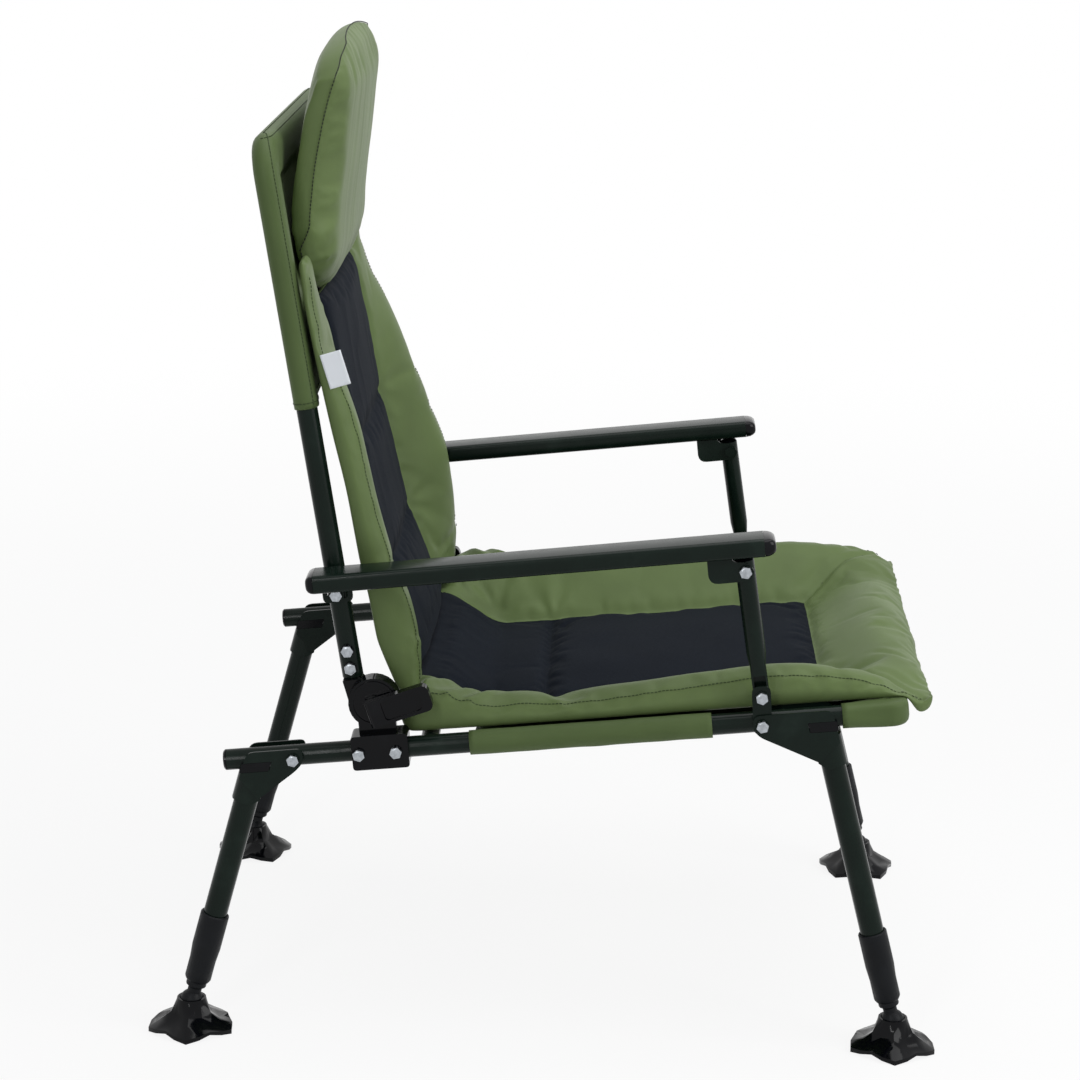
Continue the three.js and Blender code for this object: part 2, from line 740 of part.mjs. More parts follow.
const lever = {
  length: 62,
  tail: 3.2,
  half: 14,
  thickness: 12,
  corner: 8,
  recess: 2.4,
  wall: 3.4,
  endWall: 10,
  pin: 7,
  leanDeg: 14,
};
const leverPinDrop = 8;
const leverX = disc.outerFace - disc.rimHeight - clearance - lever.pin;

// The cam lever lies forward along the disc and swings outward about its upright pin.
function camLever() {
  const { length, tail, half, thickness, corner, recess, wall, endWall, pin } = lever;
  const outline = (inset, from, to) =>
    roundedShape([
      [from, -half + inset, corner / 2],
      [from, half - inset, corner / 2],
      [to, half - inset, corner],
      [to, -half + inset, corner],
    ]);
  const body = prismAcross(outline(0, tail, -length), -thickness / 2, thickness / 2);
  const face = -thickness / 2;
  const dish = prismAcross(outline(wall, -pin - wall, -length + endWall), face - overrun, face + recess);
  const barrel = rodUp(pin, -half, half, 0, 0, 14);
  return join(cut(body, dish), barrel);
}

for (const [side, sign] of sides) {
  const fixed = addGroup(hinge, "", 0, 0, 0);
  fixed.scale.x = sign;
  addPiece(fixed, `hinge_clamp_${side}`, hingeClamp(), "black");
  const swing = addGroup(fixed, `lever_${side}`, leverX, 0, -leverPinDrop, -degToRad(lever.leanDeg));
  addPiece(swing, `cam_lever_${side}`, camLever(), "black");
  const turning = addGroup(back, "", 0, 0, 0);
  turning.scale.x = sign;
  addPiece(turning, `hinge_arm_${side}`, hingeArm(), "black");
}

// Back frame: one bent tube, with the armrests' rear pivots through the posts
const backTop = 577; // from the hinge up to the axis of the top bar
const backBend = 56;
const armPivot = {
  y: armPivotUp * Math.sin(degToRad(armPivotLeanDeg - backLeanDeg)),
  z: armPivotUp * Math.cos(degToRad(armPivotLeanDeg - backLeanDeg)),
};

const ear = {
  thickness: 2.4,
  front: 17,
  rear: 14,
  drop: 8.2,
  round: 6,
  shelf: 14,
  slotFront: 12,
  slotRear: 9,
  slotHalf: 4.3,
  slotRound: 3.4,
};
const rearBolt = { ...bolt, washer: 8.6 };

const backPath = (foot) => [
  new THREE.Vector3(backX, foot, 0),
  ...arc(backX + backBend, backTop - backBend, backBend, 180, 90, bendSteps),
  ...arc(-backX - backBend, backTop - backBend, backBend, 90, 0, bendSteps),
  new THREE.Vector3(-backX, foot, 0),
];

function backFrame() {
  const path = backPath(postFoot).map((p) => new THREE.Vector3(p.x, postBack, p.y));
  const across = (x) => [x - backTubeRadius - overrun, x + backTubeRadius + overrun];
  const cuts = [backX, -backX].flatMap((x) => [
    rodUp(backTubeRadius - tubeWall, postFoot - overrun, postFoot + tongue.depth + overrun, x, postBack, 14),
    ...postBolts.map((height) => boltHole(...across(x), postBack, height)),
  ]);
  const armBolts = [1, -1].map((side) => {
    const earOuter = backX - backTubeRadius - ear.thickness - 2 * clearance;
    const faces = [side * earOuter, side * (backX + backTubeRadius)];
    return boltAcross(...faces, armPivot.y, armPivot.z, rearBolt);
  });
  return join(cut(tubeAlong(path, backTubeRadius), ...cuts), ...armBolts);
}
addPiece(back, "back_frame", backFrame(), "frame");

// Arms: a flat oval tube with end caps, a rear ear on the back post and a front bracket over the arm post
const armPostX = -armPostSpacing / 2;
const arm = {
  width: 43,
  height: 19,
  corner: 6,
  above: 22.1,
  rearEnd: 17.5,
  ahead: 20.9,
  outset: 10.6,
  wall: 1.6,
};
const armCap = { rear: 8, front: 11.5, plug: 10, inset: 6.5, steps: 4 };
const armX = railX - arm.outset;
const armFrontEnd = armReach + arm.ahead; // forward from the rear pivot
const armBracket = {
  sheet: 1.9,
  rear: 38,
  lobe: 10.2,
  round: 5.4,
  tip: 4,
  drop: 10.4,
  corner: 9,
  notch: 14,
  slope: 1,
};

// The armrest's own section, in X and Z about its axis, set in by a wall.
function armSection(inset) {
  const halfWidth = arm.width / 2 - inset;
  const halfHeight = arm.height / 2 - inset;
  const corner = arm.corner - inset / 2;
  return roundedShape([
    [-halfWidth, -halfHeight, corner],
    [halfWidth, -halfHeight, corner],
    [halfWidth, halfHeight, corner],
    [-halfWidth, halfHeight, corner],
  ]);
}

// Stands an X-Z section along Y between two places.
function sectionAlong(shape, fromY, toY) {
  const depth = Math.abs(toY - fromY);
  const geometry = new THREE.ExtrudeGeometry(shape, { depth, bevelEnabled: false, curveSegments: 4 });
  return solid(geometry.rotateX(Math.PI / 2).translate(armX, Math.max(fromY, toY), arm.above));
}

function armrest() {
  const outside = sectionAlong(armSection(0), arm.rearEnd, -armFrontEnd);
  const room = armSection(arm.wall);
  const plug = armCap.plug + clearance;
  return cut(
    outside,
    sectionAlong(room, arm.rearEnd + overrun, arm.rearEnd - plug),
    sectionAlong(room, -armFrontEnd - overrun, -armFrontEnd + plug),
  );
}

// A cap that rounds off from the armrest's section to a smaller end, with a plug inside the tube.
function armEndCap(fromY, length, outward) {
  const rings = [];
  for (let i = 0; i <= armCap.steps; i += 1) {
    const angle = (Math.PI / 2) * (i / armCap.steps);
    const along = Math.sin(angle);
    const inset = armCap.inset * (1 - Math.cos(angle));
    const points = armSection(inset).getPoints(3);
    const y = fromY + outward * (clearance + length * along);
    rings.push(points.slice(0, -1).map((p) => new THREE.Vector3(armX + p.x, y, arm.above + p.y)));
  }
  const plugEnds = [fromY + outward * clearance * 2, fromY - outward * armCap.plug];
  return join(loftRings(rings), sectionAlong(armSection(arm.wall + clearance), ...plugEnds));
}

const armUnder = arm.above - arm.height / 2; // the armrest's underside above its rear pivot
const backPostFace = backX - backTubeRadius; // the post's outer side
const frontPivot = { y: -armReach, z: -armFrontPivotDrop };

// The ear hangs from the inner edge of the armrest beside the back post. Its slot takes the post's bolt.
function armEar() {
  const outer = backPostFace - clearance - ear.thickness;
  const inner = backPostFace - clearance;
  const top = armUnder - clearance;
  const plate = prismAcross(
    roundedShape([
      [-ear.front, -ear.drop, ear.round],
      [ear.rear, -ear.drop, ear.round],
      [ear.rear, top, 0],
      [-ear.front, top, 0],
    ]),
    outer,
    inner,
  );
  const slide = prismAcross(
    roundedShape([
      [-ear.slotFront, -ear.slotHalf, ear.slotRound],
      [ear.slotRear, -ear.slotHalf, ear.slotRound],
      [ear.slotRear, ear.slotHalf, ear.slotRound],
      [-ear.slotFront, ear.slotHalf, ear.slotRound],
    ]),
    outer - overrun,
    inner + overrun,
  );
  const shelf = box(outer - ear.shelf, inner, -ear.front, ear.rear, top - ear.thickness, top);
  return join(cut(plate, slide), shelf);
}

function frontArmBracket() {
  const { sheet, rear, lobe, round, tip, drop, corner, notch, slope } = armBracket;
  const { y, z } = frontPivot;
  const top = armUnder - clearance;
  const cheek = roundedShape([
    [y + rear, top, 0],
    [y + notch, top, 0],
    [y + lobe, z + lobe, tip],
    [y - slope, z + lobe, round],
    [y - lobe, z, round],
    [y - tip, z - lobe, round],
    [y + rear - slope, z - drop, corner],
    [y + rear, z - drop + corner, 0],
  ]);
  const inside = armPostRadius + clearance;
  const outer = inside + sheet;
  const cheeks = [-1, 1].map((s) => prismAcross(cheek, armPostX + s * inside, armPostX + s * outer));
  const bridge = box(armPostX - outer, armPostX + outer, y + notch, y + rear, top - sheet, top);
  return join(bridge, ...cheeks, boltAcross(armPostX - outer, armPostX + outer, y, z));
}

const hingePlace = new THREE.Vector3(0, hingeY, hingeHeight).applyEuler(seat.rotation).add(seat.position);
const armLean = degToRad(armPivotLeanDeg);
const armPivotPlace = hingePlace.clone();
armPivotPlace.y += armPivotUp * Math.sin(armLean);
armPivotPlace.z += armPivotUp * Math.cos(armLean);
const armRise = degToRad(armRiseDeg);

for (const [side, sign] of sides) {
  const at = addGroup(chair, `arm_${side}`, 0, armPivotPlace.y, armPivotPlace.z, -armRise);
  at.scale.x = sign;
  addPiece(at, `armrest_${side}`, armrest(), "frame");
  addPiece(at, `armrest_cap_rear_${side}`, armEndCap(arm.rearEnd, armCap.rear, 1), "black");
  addPiece(at, `armrest_cap_front_${side}`, armEndCap(-armFrontEnd, armCap.front, -1), "black");
  addPiece(at, `arm_ear_rear_${side}`, armEar(), "frame");
  addPiece(at, `arm_bracket_front_${side}`, frontArmBracket(), "frame");
}

// Arm posts: a tube pinched to a channel at its foot, with a domed plug, on a plate bolted to the rail
const armPost = {
  above: 9.8,
  channelHalfDepth: 4.6,
  channelHalfWidth: 8.4,
  foot: 9,
  channelTop: 24,
  dimple: 34,
  dimpleHalfDepth: 7,
  tubeFrom: 46,
  web: 2.4,
  lip: 2.2,
  dome: 4.2,
};
const squareness = { channel: 0.45, dimple: 0.7, tube: 1 }; // 1 is round, and less is squarer
const postPlate = { thickness: 3, halfWidth: 9.7, above: 11.8, round: 7.5 };
const frontPivotPlace = new THREE.Vector3(0, frontPivot.y, frontPivot.z)
  .applyEuler(new THREE.Euler(-armRise, 0, 0))
  .add(armPivotPlace);
const postFootPlace = new THREE.Vector3(0, -armPostFootReach, armPostFootHeight)
  .applyEuler(seat.rotation)
  .add(seat.position);
const postRun = frontPivotPlace.clone().sub(postFootPlace);
const armPostLength = postRun.length();
const armPostLean = Math.atan2(postRun.y, postRun.z);
const plateOuter = railX - railRadius - clearance - postPlate.thickness;
const channelX = plateOuter + postPlate.thickness + clearance + armPost.channelHalfDepth;

function armPostTube() {
  const { above, channelHalfDepth, channelHalfWidth, foot: toe, channelTop, tubeFrom, lip } = armPost;
  const points = 16;
  // Sections up the post: height, half depth across, half width, middle, squareness.
  const sections = [
    [-toe, channelHalfDepth, channelHalfWidth, channelX, squareness.channel],
    [channelTop, channelHalfDepth, channelHalfWidth, channelX, squareness.channel],
    [armPost.dimple, armPost.dimpleHalfDepth, channelHalfWidth, (channelX + armPostX) / 2, squareness.dimple],
    [tubeFrom, armPostRadius, armPostRadius, armPostX, squareness.tube],
    [armPostLength + above, armPostRadius, armPostRadius, armPostX, squareness.tube],
  ];
  const rings = sections.map(([height, depth, width, x, square]) => {
    const ring = [];
    for (let i = 0; i < points; i += 1) {
      const angle = (2 * Math.PI * i) / points;
      const along = Math.sign(Math.cos(angle)) * Math.abs(Math.cos(angle)) ** square;
      const out = Math.sign(Math.sin(angle)) * Math.abs(Math.sin(angle)) ** square;
      ring.push(new THREE.Vector3(x + depth * along, width * out, height));
    }
    return ring;
  });
  const body = loftRings(rings);
  const channel = box(
    channelX - channelHalfDepth - overrun,
    channelX + channelHalfDepth - armPost.web,
    -channelHalfWidth + lip,
    channelHalfWidth - lip,
    -toe - overrun,
    channelTop - lip,
  );
  const shaft = boltHole(channelX - 3 * channelHalfDepth, channelX + 3 * channelHalfDepth, 0, 0);
  const pivotHole = boltHole(armPostX - 2 * armPostRadius, armPostX + 2 * armPostRadius, 0, armPostLength);
  return cut(body, channel, shaft, pivotHole);
}

function armPostDome() {
  const base = armPostLength + armPost.above + clearance;
  const steps = 3;
  const profile = [[0, base]];
  for (let i = 0; i <= steps; i += 1) {
    const angle = ((Math.PI / 2) * i) / steps;
    profile.push([i === steps ? 0 : armPostRadius * Math.cos(angle), base + armPost.dome * Math.sin(angle)]);
  }
  return turned(profile, 14).translate([armPostX, 0, 0]);
}

// The plate stands outside the rail on the front leg's pivot bolt and carries the post's foot bolt.
function armPostPlate() {
  const { thickness, halfWidth, above } = postPlate;
  const foot = { y: -armPostFootReach, z: armPostFootHeight };
  const pivot = { y: -pivotSpacing, z: 0 };
  const outline = roundedShape([
    [pivot.y - halfWidth, pivot.z - halfWidth, postPlate.round],
    [pivot.y + halfWidth, pivot.z - halfWidth, postPlate.round],
    [foot.y + halfWidth, foot.z + above, postPlate.round],
    [foot.y - halfWidth, foot.z + above, postPlate.round],
  ]);
  const plate = prismAcross(outline, plateOuter, plateOuter + thickness);
  const through = [plateOuter - overrun, plateOuter + thickness + overrun];
  const bolted = cut(plate, boltHole(...through, pivot.y, pivot.z));
  const nutFace = channelX + armPost.channelHalfDepth + clearance;
  return join(bolted, boltAcross(plateOuter, nutFace, foot.y, foot.z));
}

for (const [side, sign] of sides) {
  const at = addGroup(chair, `post_${side}`, 0, postFootPlace.y, postFootPlace.z, -armPostLean);
  at.scale.x = sign;
  addPiece(at, `arm_post_${side}`, armPostTube(), "frame");
  addPiece(at, `arm_post_cap_${side}`, armPostDome(), "black");
  const fixed = addGroup(seat, "", 0, 0, 0);
  fixed.scale.x = sign;
  addPiece(fixed, `arm_post_plate_${side}`, armPostPlate(), "frame");
}

// Sling: a cloth sheet stitched into sleeves round the rails and the front of the frame
const sling = {
  cloth: 1.4,
  rearFrom: 183,
  beforePivot: 51.5,
  beforeBar: 56.7,
  rearSag: 22,
  frontSag: 12,
  drop: 3,
  hem: 2,
  gap: 33,
  columns: 12,
  sides: 14,
};
const sleeveEnd = pivotSpacing - sling.beforePivot; // of the sleeves along the rails
const frontSleeve = frontBarReach - sling.beforeBar; // where the sleeve round the front starts
const slingSag = [
  [sling.rearFrom, sling.rearSag],
  [sleeveEnd, sling.rearSag],
  [frontSleeve, sling.frontSag],
  [frontBarReach, 0],
]; // how far the middle hangs, by distance forward

function slingHeight(x, reach) {
  const i = Math.max(1, slingSag.findIndex(([at]) => reach <= at));
  const [fromReach, from] = slingSag.at(i - 1);
  const [toReach, to] = slingSag.at(i);
  const share = Math.min(1, Math.max(0, (reach - fromReach) / (toReach - fromReach)));
  return -sling.drop - lerp(from, to, share) * (1 - (x / railX) ** 2);
}

function seatSling() {
  const inner = railRadius + clearance;
  const outer = inner + sling.cloth;
  const pipes = (radius, grow) =>
    join(
      rodAlong(radius, -sling.rearFrom + grow, -sleeveEnd - grow, railX, 0, sling.sides),
      rodAlong(radius, -sling.rearFrom + grow, -sleeveEnd - grow, -railX, 0, sling.sides),
      tubeAlong(railPath(-frontSleeve + grow), radius, sling.sides),
    );
  const half = railSpacing / 2 - railRadius + sling.cloth / 2;
  const rings = slingSag.map(([reach], row) => {
    const end = row === slingSag.length - 1 ? inner + sling.cloth / 2 : -sling.hem * Math.sign(1 - row);
    const top = [];
    const under = [];
    for (let i = 0; i <= sling.columns; i += 1) {
      const x = lerp(-half, half, i / sling.columns);
      const height = slingHeight(x, reach);
      const y = -reach + end * (row === 0 || row === slingSag.length - 1 ? 1 : 0);
      top.push(new THREE.Vector3(x, y, height + sling.cloth / 2));
      under.unshift(new THREE.Vector3(x, y, height - sling.cloth / 2));
    }
    return [...top, ...under];
  });
  const gapEnds = [-sleeveEnd + sling.hem, -frontSleeve - sling.hem];
  const gaps = [railX, -railX].map((x) =>
    box(x - sling.gap, x + sling.gap, ...gapEnds, -sling.gap, sling.gap),
  );
  return cut(join(cut(loftRings(rings), ...gaps), pipes(outer, 0)), pipes(inner, overrun));
}
addPiece(seat, "seat_sling", seatSling(), "green");

// Soft pieces. Widths and heights are read off smooth functions of where a point lies on the pad.
const softRing = 9; // points along the top of half a section, and as many beneath

// Heights between named places: a table of [place, value] pairs, eased from one to the next.
function profileAt(table, place) {
  const i = table.findIndex(([at]) => place <= at);
  if (i === 0) return table[0][1];
  if (i < 0) return table.at(-1)[1];
  const [fromPlace, from] = table[i - 1];
  const [toPlace, to] = table[i];
  return lerp(from, to, smoothstep(place, fromPlace, toPlace));
}

const groove = (distance, width, depth) => depth * Math.exp(-((distance / width) ** 2));

// A ring across a pad: a top line and an under line over the same places, meeting at the two edges.
function padRing(halfWidth, placeOf, edgeBulge, upper, lower) {
  const ring = [];
  const spread = (i) => Math.sin((Math.PI / 2) * (i / softRing));
  for (let i = -softRing; i <= softRing; i += 1) {
    const x = halfWidth * Math.sign(i) * spread(Math.abs(i));
    ring.push(placeOf(x, upper(x)));
  }
  const middle = (upper(halfWidth) + lower(halfWidth)) / 2;
  ring.push(placeOf(halfWidth + edgeBulge, middle));
  for (let i = softRing; i >= -softRing; i -= 1) {
    const x = halfWidth * Math.sign(i) * spread(Math.abs(i));
    ring.push(placeOf(x, lower(x)));
  }
  ring.push(placeOf(-halfWidth - edgeBulge, middle));
  return ring;
}

const padInset = 12; // of the mattress inside the rails' axes
const padHalf = railSpacing / 2 - padInset;
const borderWidth = 91; // from the charcoal panel's seam out to the edge
const ridgeInset = 20;
const mattress = {
  halfWidth: padHalf,
  bulge: 6,
  seam: padHalf - borderWidth,
  ridge: padHalf - ridgeInset,
  groove: 5,
  grooveWidth: 9,
  crown: 6,
  beyondBar: 32.3, // past the front cross tube
  seamToBar: 72.7, // from the front seam to that tube
  edgeFallShare: 0.3, // of the border's height, lost from its ridge to its edge
  endFallShare: 0.35, // of the thickness, lost at each end
  endShare: 0.12, // of the length, over which each end draws in
};
const underFrom = 90; // from the middle out to where the underside starts to rise to the borders
const edgeFlat = 10; // under the pad's edge, where it has risen
const underTo = padHalf - edgeFlat;
const edgeLip = 3;
const seatPad = {
  rear: 135,
  front: frontBarReach + mattress.beyondBar,
  channel: 257,
  frontSeam: frontBarReach - mattress.seamToBar,
  panel: 5,
  under: 25,
  edgeUnder: 19.5,
  rearUnder: 11.5,
  barFrom: 151,
  barTo: 178,
};
const border = {
  rearEnd: 42,
  peak: 60,
  toPeak: 17,
  waist: 47,
  toWaist: 115,
  middle: 50,
  beforeFront: 257,
  swell: 57,
  swellBefore: 157,
  overBar: 50,
  barBefore: 97,
  frontEnd: 30,
};
const seatRidge = [
  [seatPad.rear, border.rearEnd],
  [seatPad.rear + border.toPeak, border.peak],
  [seatPad.rear + border.toWaist, border.waist],
  [seatPad.front - border.beforeFront, border.middle],
  [seatPad.front - border.swellBefore, border.swell],
  [seatPad.front - border.barBefore, border.overBar],
  [seatPad.front, border.frontEnd],
]; // height of the side borders above the rails, by distance forward
const rise = {
  rearEnd: 36,
  crease: 24,
  toCrease: 15,
  toFlat: 55,
  swell: 21,
  swellBefore: 17,
  frontEnd: 20,
};
const seatRise = [
  [seatPad.rear, rise.rearEnd],
  [seatPad.rear + rise.toCrease, rise.crease],
  [seatPad.rear + rise.toFlat, 0],
  [seatPad.frontSeam, 0],
  [seatPad.front - rise.swellBefore, rise.swell],
  [seatPad.front, rise.frontEnd],
]; // of the middle panel, up to the back pad and over the front bar

const seatShares = [
  0, 0.02, 0.05, 0.09, 0.14, 0.19, 0.235, 0.28, 0.37, 0.47,
  0.57, 0.67, 0.75, 0.8, 0.85, 0.9, 0.95, 0.98, 1,
];
const backShares = [
  0, 0.03, 0.08, 0.15, 0.22, 0.27, 0.32, 0.4, 0.48, 0.56,
  0.61, 0.66, 0.74, 0.82, 0.89, 0.95, 0.98, 1,
];
function endShare(share) {
  const fromEnd = Math.min(share, 1 - share) + mattress.endShare / 4;
  return Math.min(1, fromEnd / mattress.endShare);
}

function seatMattress() {
  const { halfWidth, bulge, seam, ridge, grooveWidth, crown } = mattress;
  const rings = seatShares.map((share) => {
    const reach = lerp(seatPad.rear, seatPad.front, share);
    const full = endShare(share);
    const panelRise = profileAt(seatRise, reach);
    const high = profileAt(seatRidge, reach);
    const upper = (x) => {
      const out = Math.abs(x);
      const outward = smoothstep(out, seam - grooveWidth, ridge);
      const puff = crown * Math.cos((Math.PI * Math.min(out, seam)) / (2 * seam));
      const level = lerp(seatPad.panel + panelRise + puff, high, outward);
      const borderHeight = high - seatPad.edgeUnder;
      const overEdge = smoothstep(out, ridge, halfWidth) * borderHeight * mattress.edgeFallShare;
      const seams =
        groove(out - seam, grooveWidth, mattress.groove) +
        groove(reach - seatPad.frontSeam, grooveWidth, mattress.groove) +
        groove(reach - seatPad.channel, grooveWidth, mattress.groove) * (1 - outward);
      const atEnd = (1 - full) * (level - seatPad.edgeUnder) * mattress.endFallShare;
      return level - overEdge - seams - atEnd;
    };
    const lower = (x) => {
      const frontLift = smoothstep(reach, frontSleeve - frontBend, frontBarReach);
      const middle = lerp(-seatPad.under, railRadius + 2 * sling.cloth, frontLift);
      const lifted = lerp(seatPad.rearUnder, middle, smoothstep(reach, seatPad.barFrom, seatPad.barTo));
      const own = lerp(lifted, seatPad.edgeUnder - edgeLip, smoothstep(Math.abs(x), underFrom, underTo));
      return Math.max(own, slingHeight(x, reach) + sling.cloth / 2 + 3 * clearance);
    };
    const placeOf = (x, z) => new THREE.Vector3(x, -reach, z);
    return padRing(halfWidth - (1 - full) * bulge, placeOf, bulge * full, upper, lower);
  });
  return loftRings(rings);
}
addPiece(seat, "seat_mattress", seatMattress(), "charcoal");

const hood = { low: 314, cloth: 1.2, edgeHalf: 9, middleHalf: 5, blend: 60, sides: 14 };
const sleeveFace = postBack - backTubeRadius - hood.cloth - 2 * clearance; // clear of its sleeves
const hoodFace = postBack - hood.middleHalf - clearance; // clear of its middle
const backPad = { low: -4, high: 402, underRise: 14, thickness: 24, narrower: 8, lowEnd: 40, endLip: 2 };
const wingAt = { fullFrom: 60, fullTo: 150, shoulder: 200, middle: 265, upper: 330, neck: 380 };
const wing = { lowEnd: 54, full: 66, shoulder: 57, middle: 42, upper: 27, neck: 13, highEnd: 8 };
const backRidge = [
  [0, wing.lowEnd],
  [wingAt.fullFrom, wing.full],
  [wingAt.fullTo, wing.full],
  [wingAt.shoulder, wing.shoulder],
  [wingAt.middle, wing.middle],
  [wingAt.upper, wing.upper],
  [wingAt.neck, wing.neck],
  [backPad.high, wing.highEnd],
]; // how far the wings stand forward of the hinge line, by height
const panelAt = { lumbar: 55, channel: 106, waist: 166, middle: 227, upper: 345 };
const panel = { lowEnd: 44, lumbar: 33, channel: 22, waist: 16, middle: 12, upper: 8, highEnd: 5 };
const backPanel = [
  [0, panel.lowEnd],
  [panelAt.lumbar, panel.lumbar],
  [panelAt.channel, panel.channel],
  [panelAt.waist, panel.waist],
  [panelAt.middle, panel.middle],
  [panelAt.upper, panel.upper],
  [backPad.high, panel.highEnd],
];
const behindAt = { lumbar: 46, waist: 100, middle: 165, upper: 262 };
const behind = { lowEnd: 26, lumbar: 9, waist: 4, middle: 3, upper: -3 };
const backRear = [
  [0, behind.lowEnd],
  [behindAt.lumbar, behind.lumbar],
  [behindAt.waist, behind.waist],
  [behindAt.middle, behind.middle],
  [behindAt.upper, behind.upper],
  [hood.low, -sleeveFace],
  [backPad.high, -sleeveFace],
];
const backChannels = [105, 245];

function backMattress() {
  const { bulge, seam, grooveWidth, crown } = mattress;
  const half = mattress.halfWidth - backPad.narrower;
  const ridge = mattress.ridge - backPad.narrower;
  const rings = backShares.map((share) => {
    const up = lerp(backPad.low, backPad.high, share);
    const full = endShare(share);
    const ridgeDepth = profileAt(backRidge, up);
    const panelDepth = profileAt(backPanel, up);
    const rear = profileAt(backRear, up);
    const front = (x) => {
      const out = Math.abs(x);
      const outward = smoothstep(out, seam - grooveWidth, ridge);
      const puff = crown * Math.cos((Math.PI * Math.min(out, seam)) / (2 * seam));
      const level = lerp(panelDepth + puff, ridgeDepth, outward);
      const sewn = (distance) => groove(distance, grooveWidth, mattress.groove);
      const channels = backChannels.reduce((sum, at) => sum + sewn(up - at), 0);
      const seams = sewn(out - seam) + channels * (1 - outward);
      const overEdge = smoothstep(out, ridge, half) * (ridgeDepth - rear) * mattress.edgeFallShare;
      return level - overEdge - seams - (1 - full) * (level - rear) * mattress.endFallShare;
    };
    const rearFace = (x) => {
      const thin = Math.max(panelDepth - backPad.thickness, rear);
      return lerp(thin, rear, smoothstep(Math.abs(x), seam, half)) + (1 - full) * backPad.endLip;
    };
    const placeOf = (x, forward) => {
      const lowEnd = 1 - smoothstep(up, backPad.low, backPad.low + backPad.lowEnd);
      const droop = backPad.underRise * lowEnd * (1 - smoothstep(forward, rear, ridgeDepth));
      return new THREE.Vector3(x, -forward, up + droop);
    };
    return padRing(half - (1 - full) * bulge, placeOf, bulge * full, front, rearFace);
  });
  return loftRings(rings);
}
addPiece(back, "back_mattress", backMattress(), "charcoal");

// Headrest pillow: a fat pad that leans forward at its top
const pillowInset = 58; // inside the back posts' axes
const pillow = {
  low: 403,
  high: 676,
  halfWidth: backSpacing / 2 - pillowInset,
  edge: 4,
  cornerShare: 0.16,
  cornerPower: 4,
  fallShare: 0.62,
  fallPower: 5,
};
const pillowShares = [0, 0.03, 0.1, 0.2, 0.32, 0.45, 0.57, 0.68, 0.79, 0.88, 0.95, 0.99, 1];
const faceAt = { chin: 34, lower: 75, middle: 149, upper: 197, brow: 237 };
const face = { lowEnd: 14, chin: 31, lower: 47, middle: 63, upper: 77, brow: 84, highEnd: 74 };
const pillowFront = [
  [pillow.low, face.lowEnd],
  [pillow.low + faceAt.chin, face.chin],
  [pillow.low + faceAt.lower, face.lower],
  [pillow.low + faceAt.middle, face.middle],
  [pillow.low + faceAt.upper, face.upper],
  [pillow.low + faceAt.brow, face.brow],
  [pillow.high, face.highEnd],
];
const nape = { lowEnd: -2, offAt: 110, leanAt: 142, upper: 12, brow: 26, highEnd: 62 };
const pillowRear = [
  [pillow.low, nape.lowEnd],
  [pillow.low + faceAt.chin, -hoodFace],
  [pillow.low + nape.offAt, -hoodFace],
  [pillow.low + nape.leanAt, 0],
  [pillow.low + faceAt.upper, nape.upper],
  [pillow.low + faceAt.brow, nape.brow],
  [pillow.high, nape.highEnd],
];

function headrestPillow() {
  const rings = pillowShares.map((share) => {
    const up = lerp(pillow.low, pillow.high, share);
    const front = profileAt(pillowFront, up);
    const rear = profileAt(pillowRear, up);
    const middle = (front + rear) / 2;
    const deep = (front - rear) / 2;
    const drawnIn = pillow.cornerShare * Math.abs(2 * share - 1) ** pillow.cornerPower;
    const half = pillow.halfWidth * (1 - drawnIn);
    const fall = (x) => (1 - pillow.fallShare * Math.abs(x / half) ** pillow.fallPower) * deep;
    const placeOf = (x, forward) => new THREE.Vector3(x, -forward, up);
    return padRing(half, placeOf, pillow.edge, (x) => middle + fall(x), (x) => middle - fall(x));
  });
  return loftRings(rings);
}
addPiece(back, "headrest_pillow", headrestPillow(), "green");

// Hood: a double layer of cloth drawn over the top of the back frame, sleeved round the tube
const hoodShares = [0, 0.35, 0.62, 0.76, 0.86, 0.93, 0.98, 1];
const hoodWidthShares = [-1, -0.93, -0.85, -0.72, -0.45, 0, 0.45, 0.72, 0.85, 0.93, 1];

function backHood() {
  const inner = backTubeRadius + clearance;
  const cornerX = -backX - backBend;
  const cornerUp = backTop - backBend;
  const path = (foot) => backPath(foot).map((p) => new THREE.Vector3(p.x, postBack, p.y));
  const rings = hoodShares.map((share) => {
    const up = lerp(hood.low, backTop - hood.cloth, share);
    const intoCorner = Math.max(0, up - cornerUp);
    const half = cornerX + Math.sqrt(backBend ** 2 - intoCorner ** 2);
    const layer = (side) =>
      hoodWidthShares.map((across) => {
        const fromTube = Math.min(half - Math.abs(across) * half, backTop - up);
        const depth = lerp(hood.edgeHalf, hood.middleHalf, smoothstep(fromTube, 0, hood.blend));
        return new THREE.Vector3(across * half, postBack + side * depth, up);
      });
    return [...layer(1), ...layer(-1).reverse()];
  });
  const bag = join(loftRings(rings), tubeAlong(path(hood.low), inner + hood.cloth, hood.sides));
  return cut(bag, tubeAlong(path(hood.low - overrun), inner, hood.sides));
}
addPiece(back, "back_hood", backHood(), "green");

// A blank tag sewn into the right-hand edge of the back mattress
const tag = { width: 22, height: 36, thickness: 0.8, low: 330, forward: 4, tiltDeg: 8 };
const padEdge = mattress.halfWidth - backPad.narrower + mattress.bulge;
const tagX = -padEdge - clearance - tag.thickness;
const tagAt = addGroup(back, "", tagX, -tag.forward, tag.low, degToRad(tag.tiltDeg));
addPiece(tagAt, "sewn_tag", box(0, tag.thickness, -tag.width, 0, 0, tag.height), "white");

export default chair;
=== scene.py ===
import math

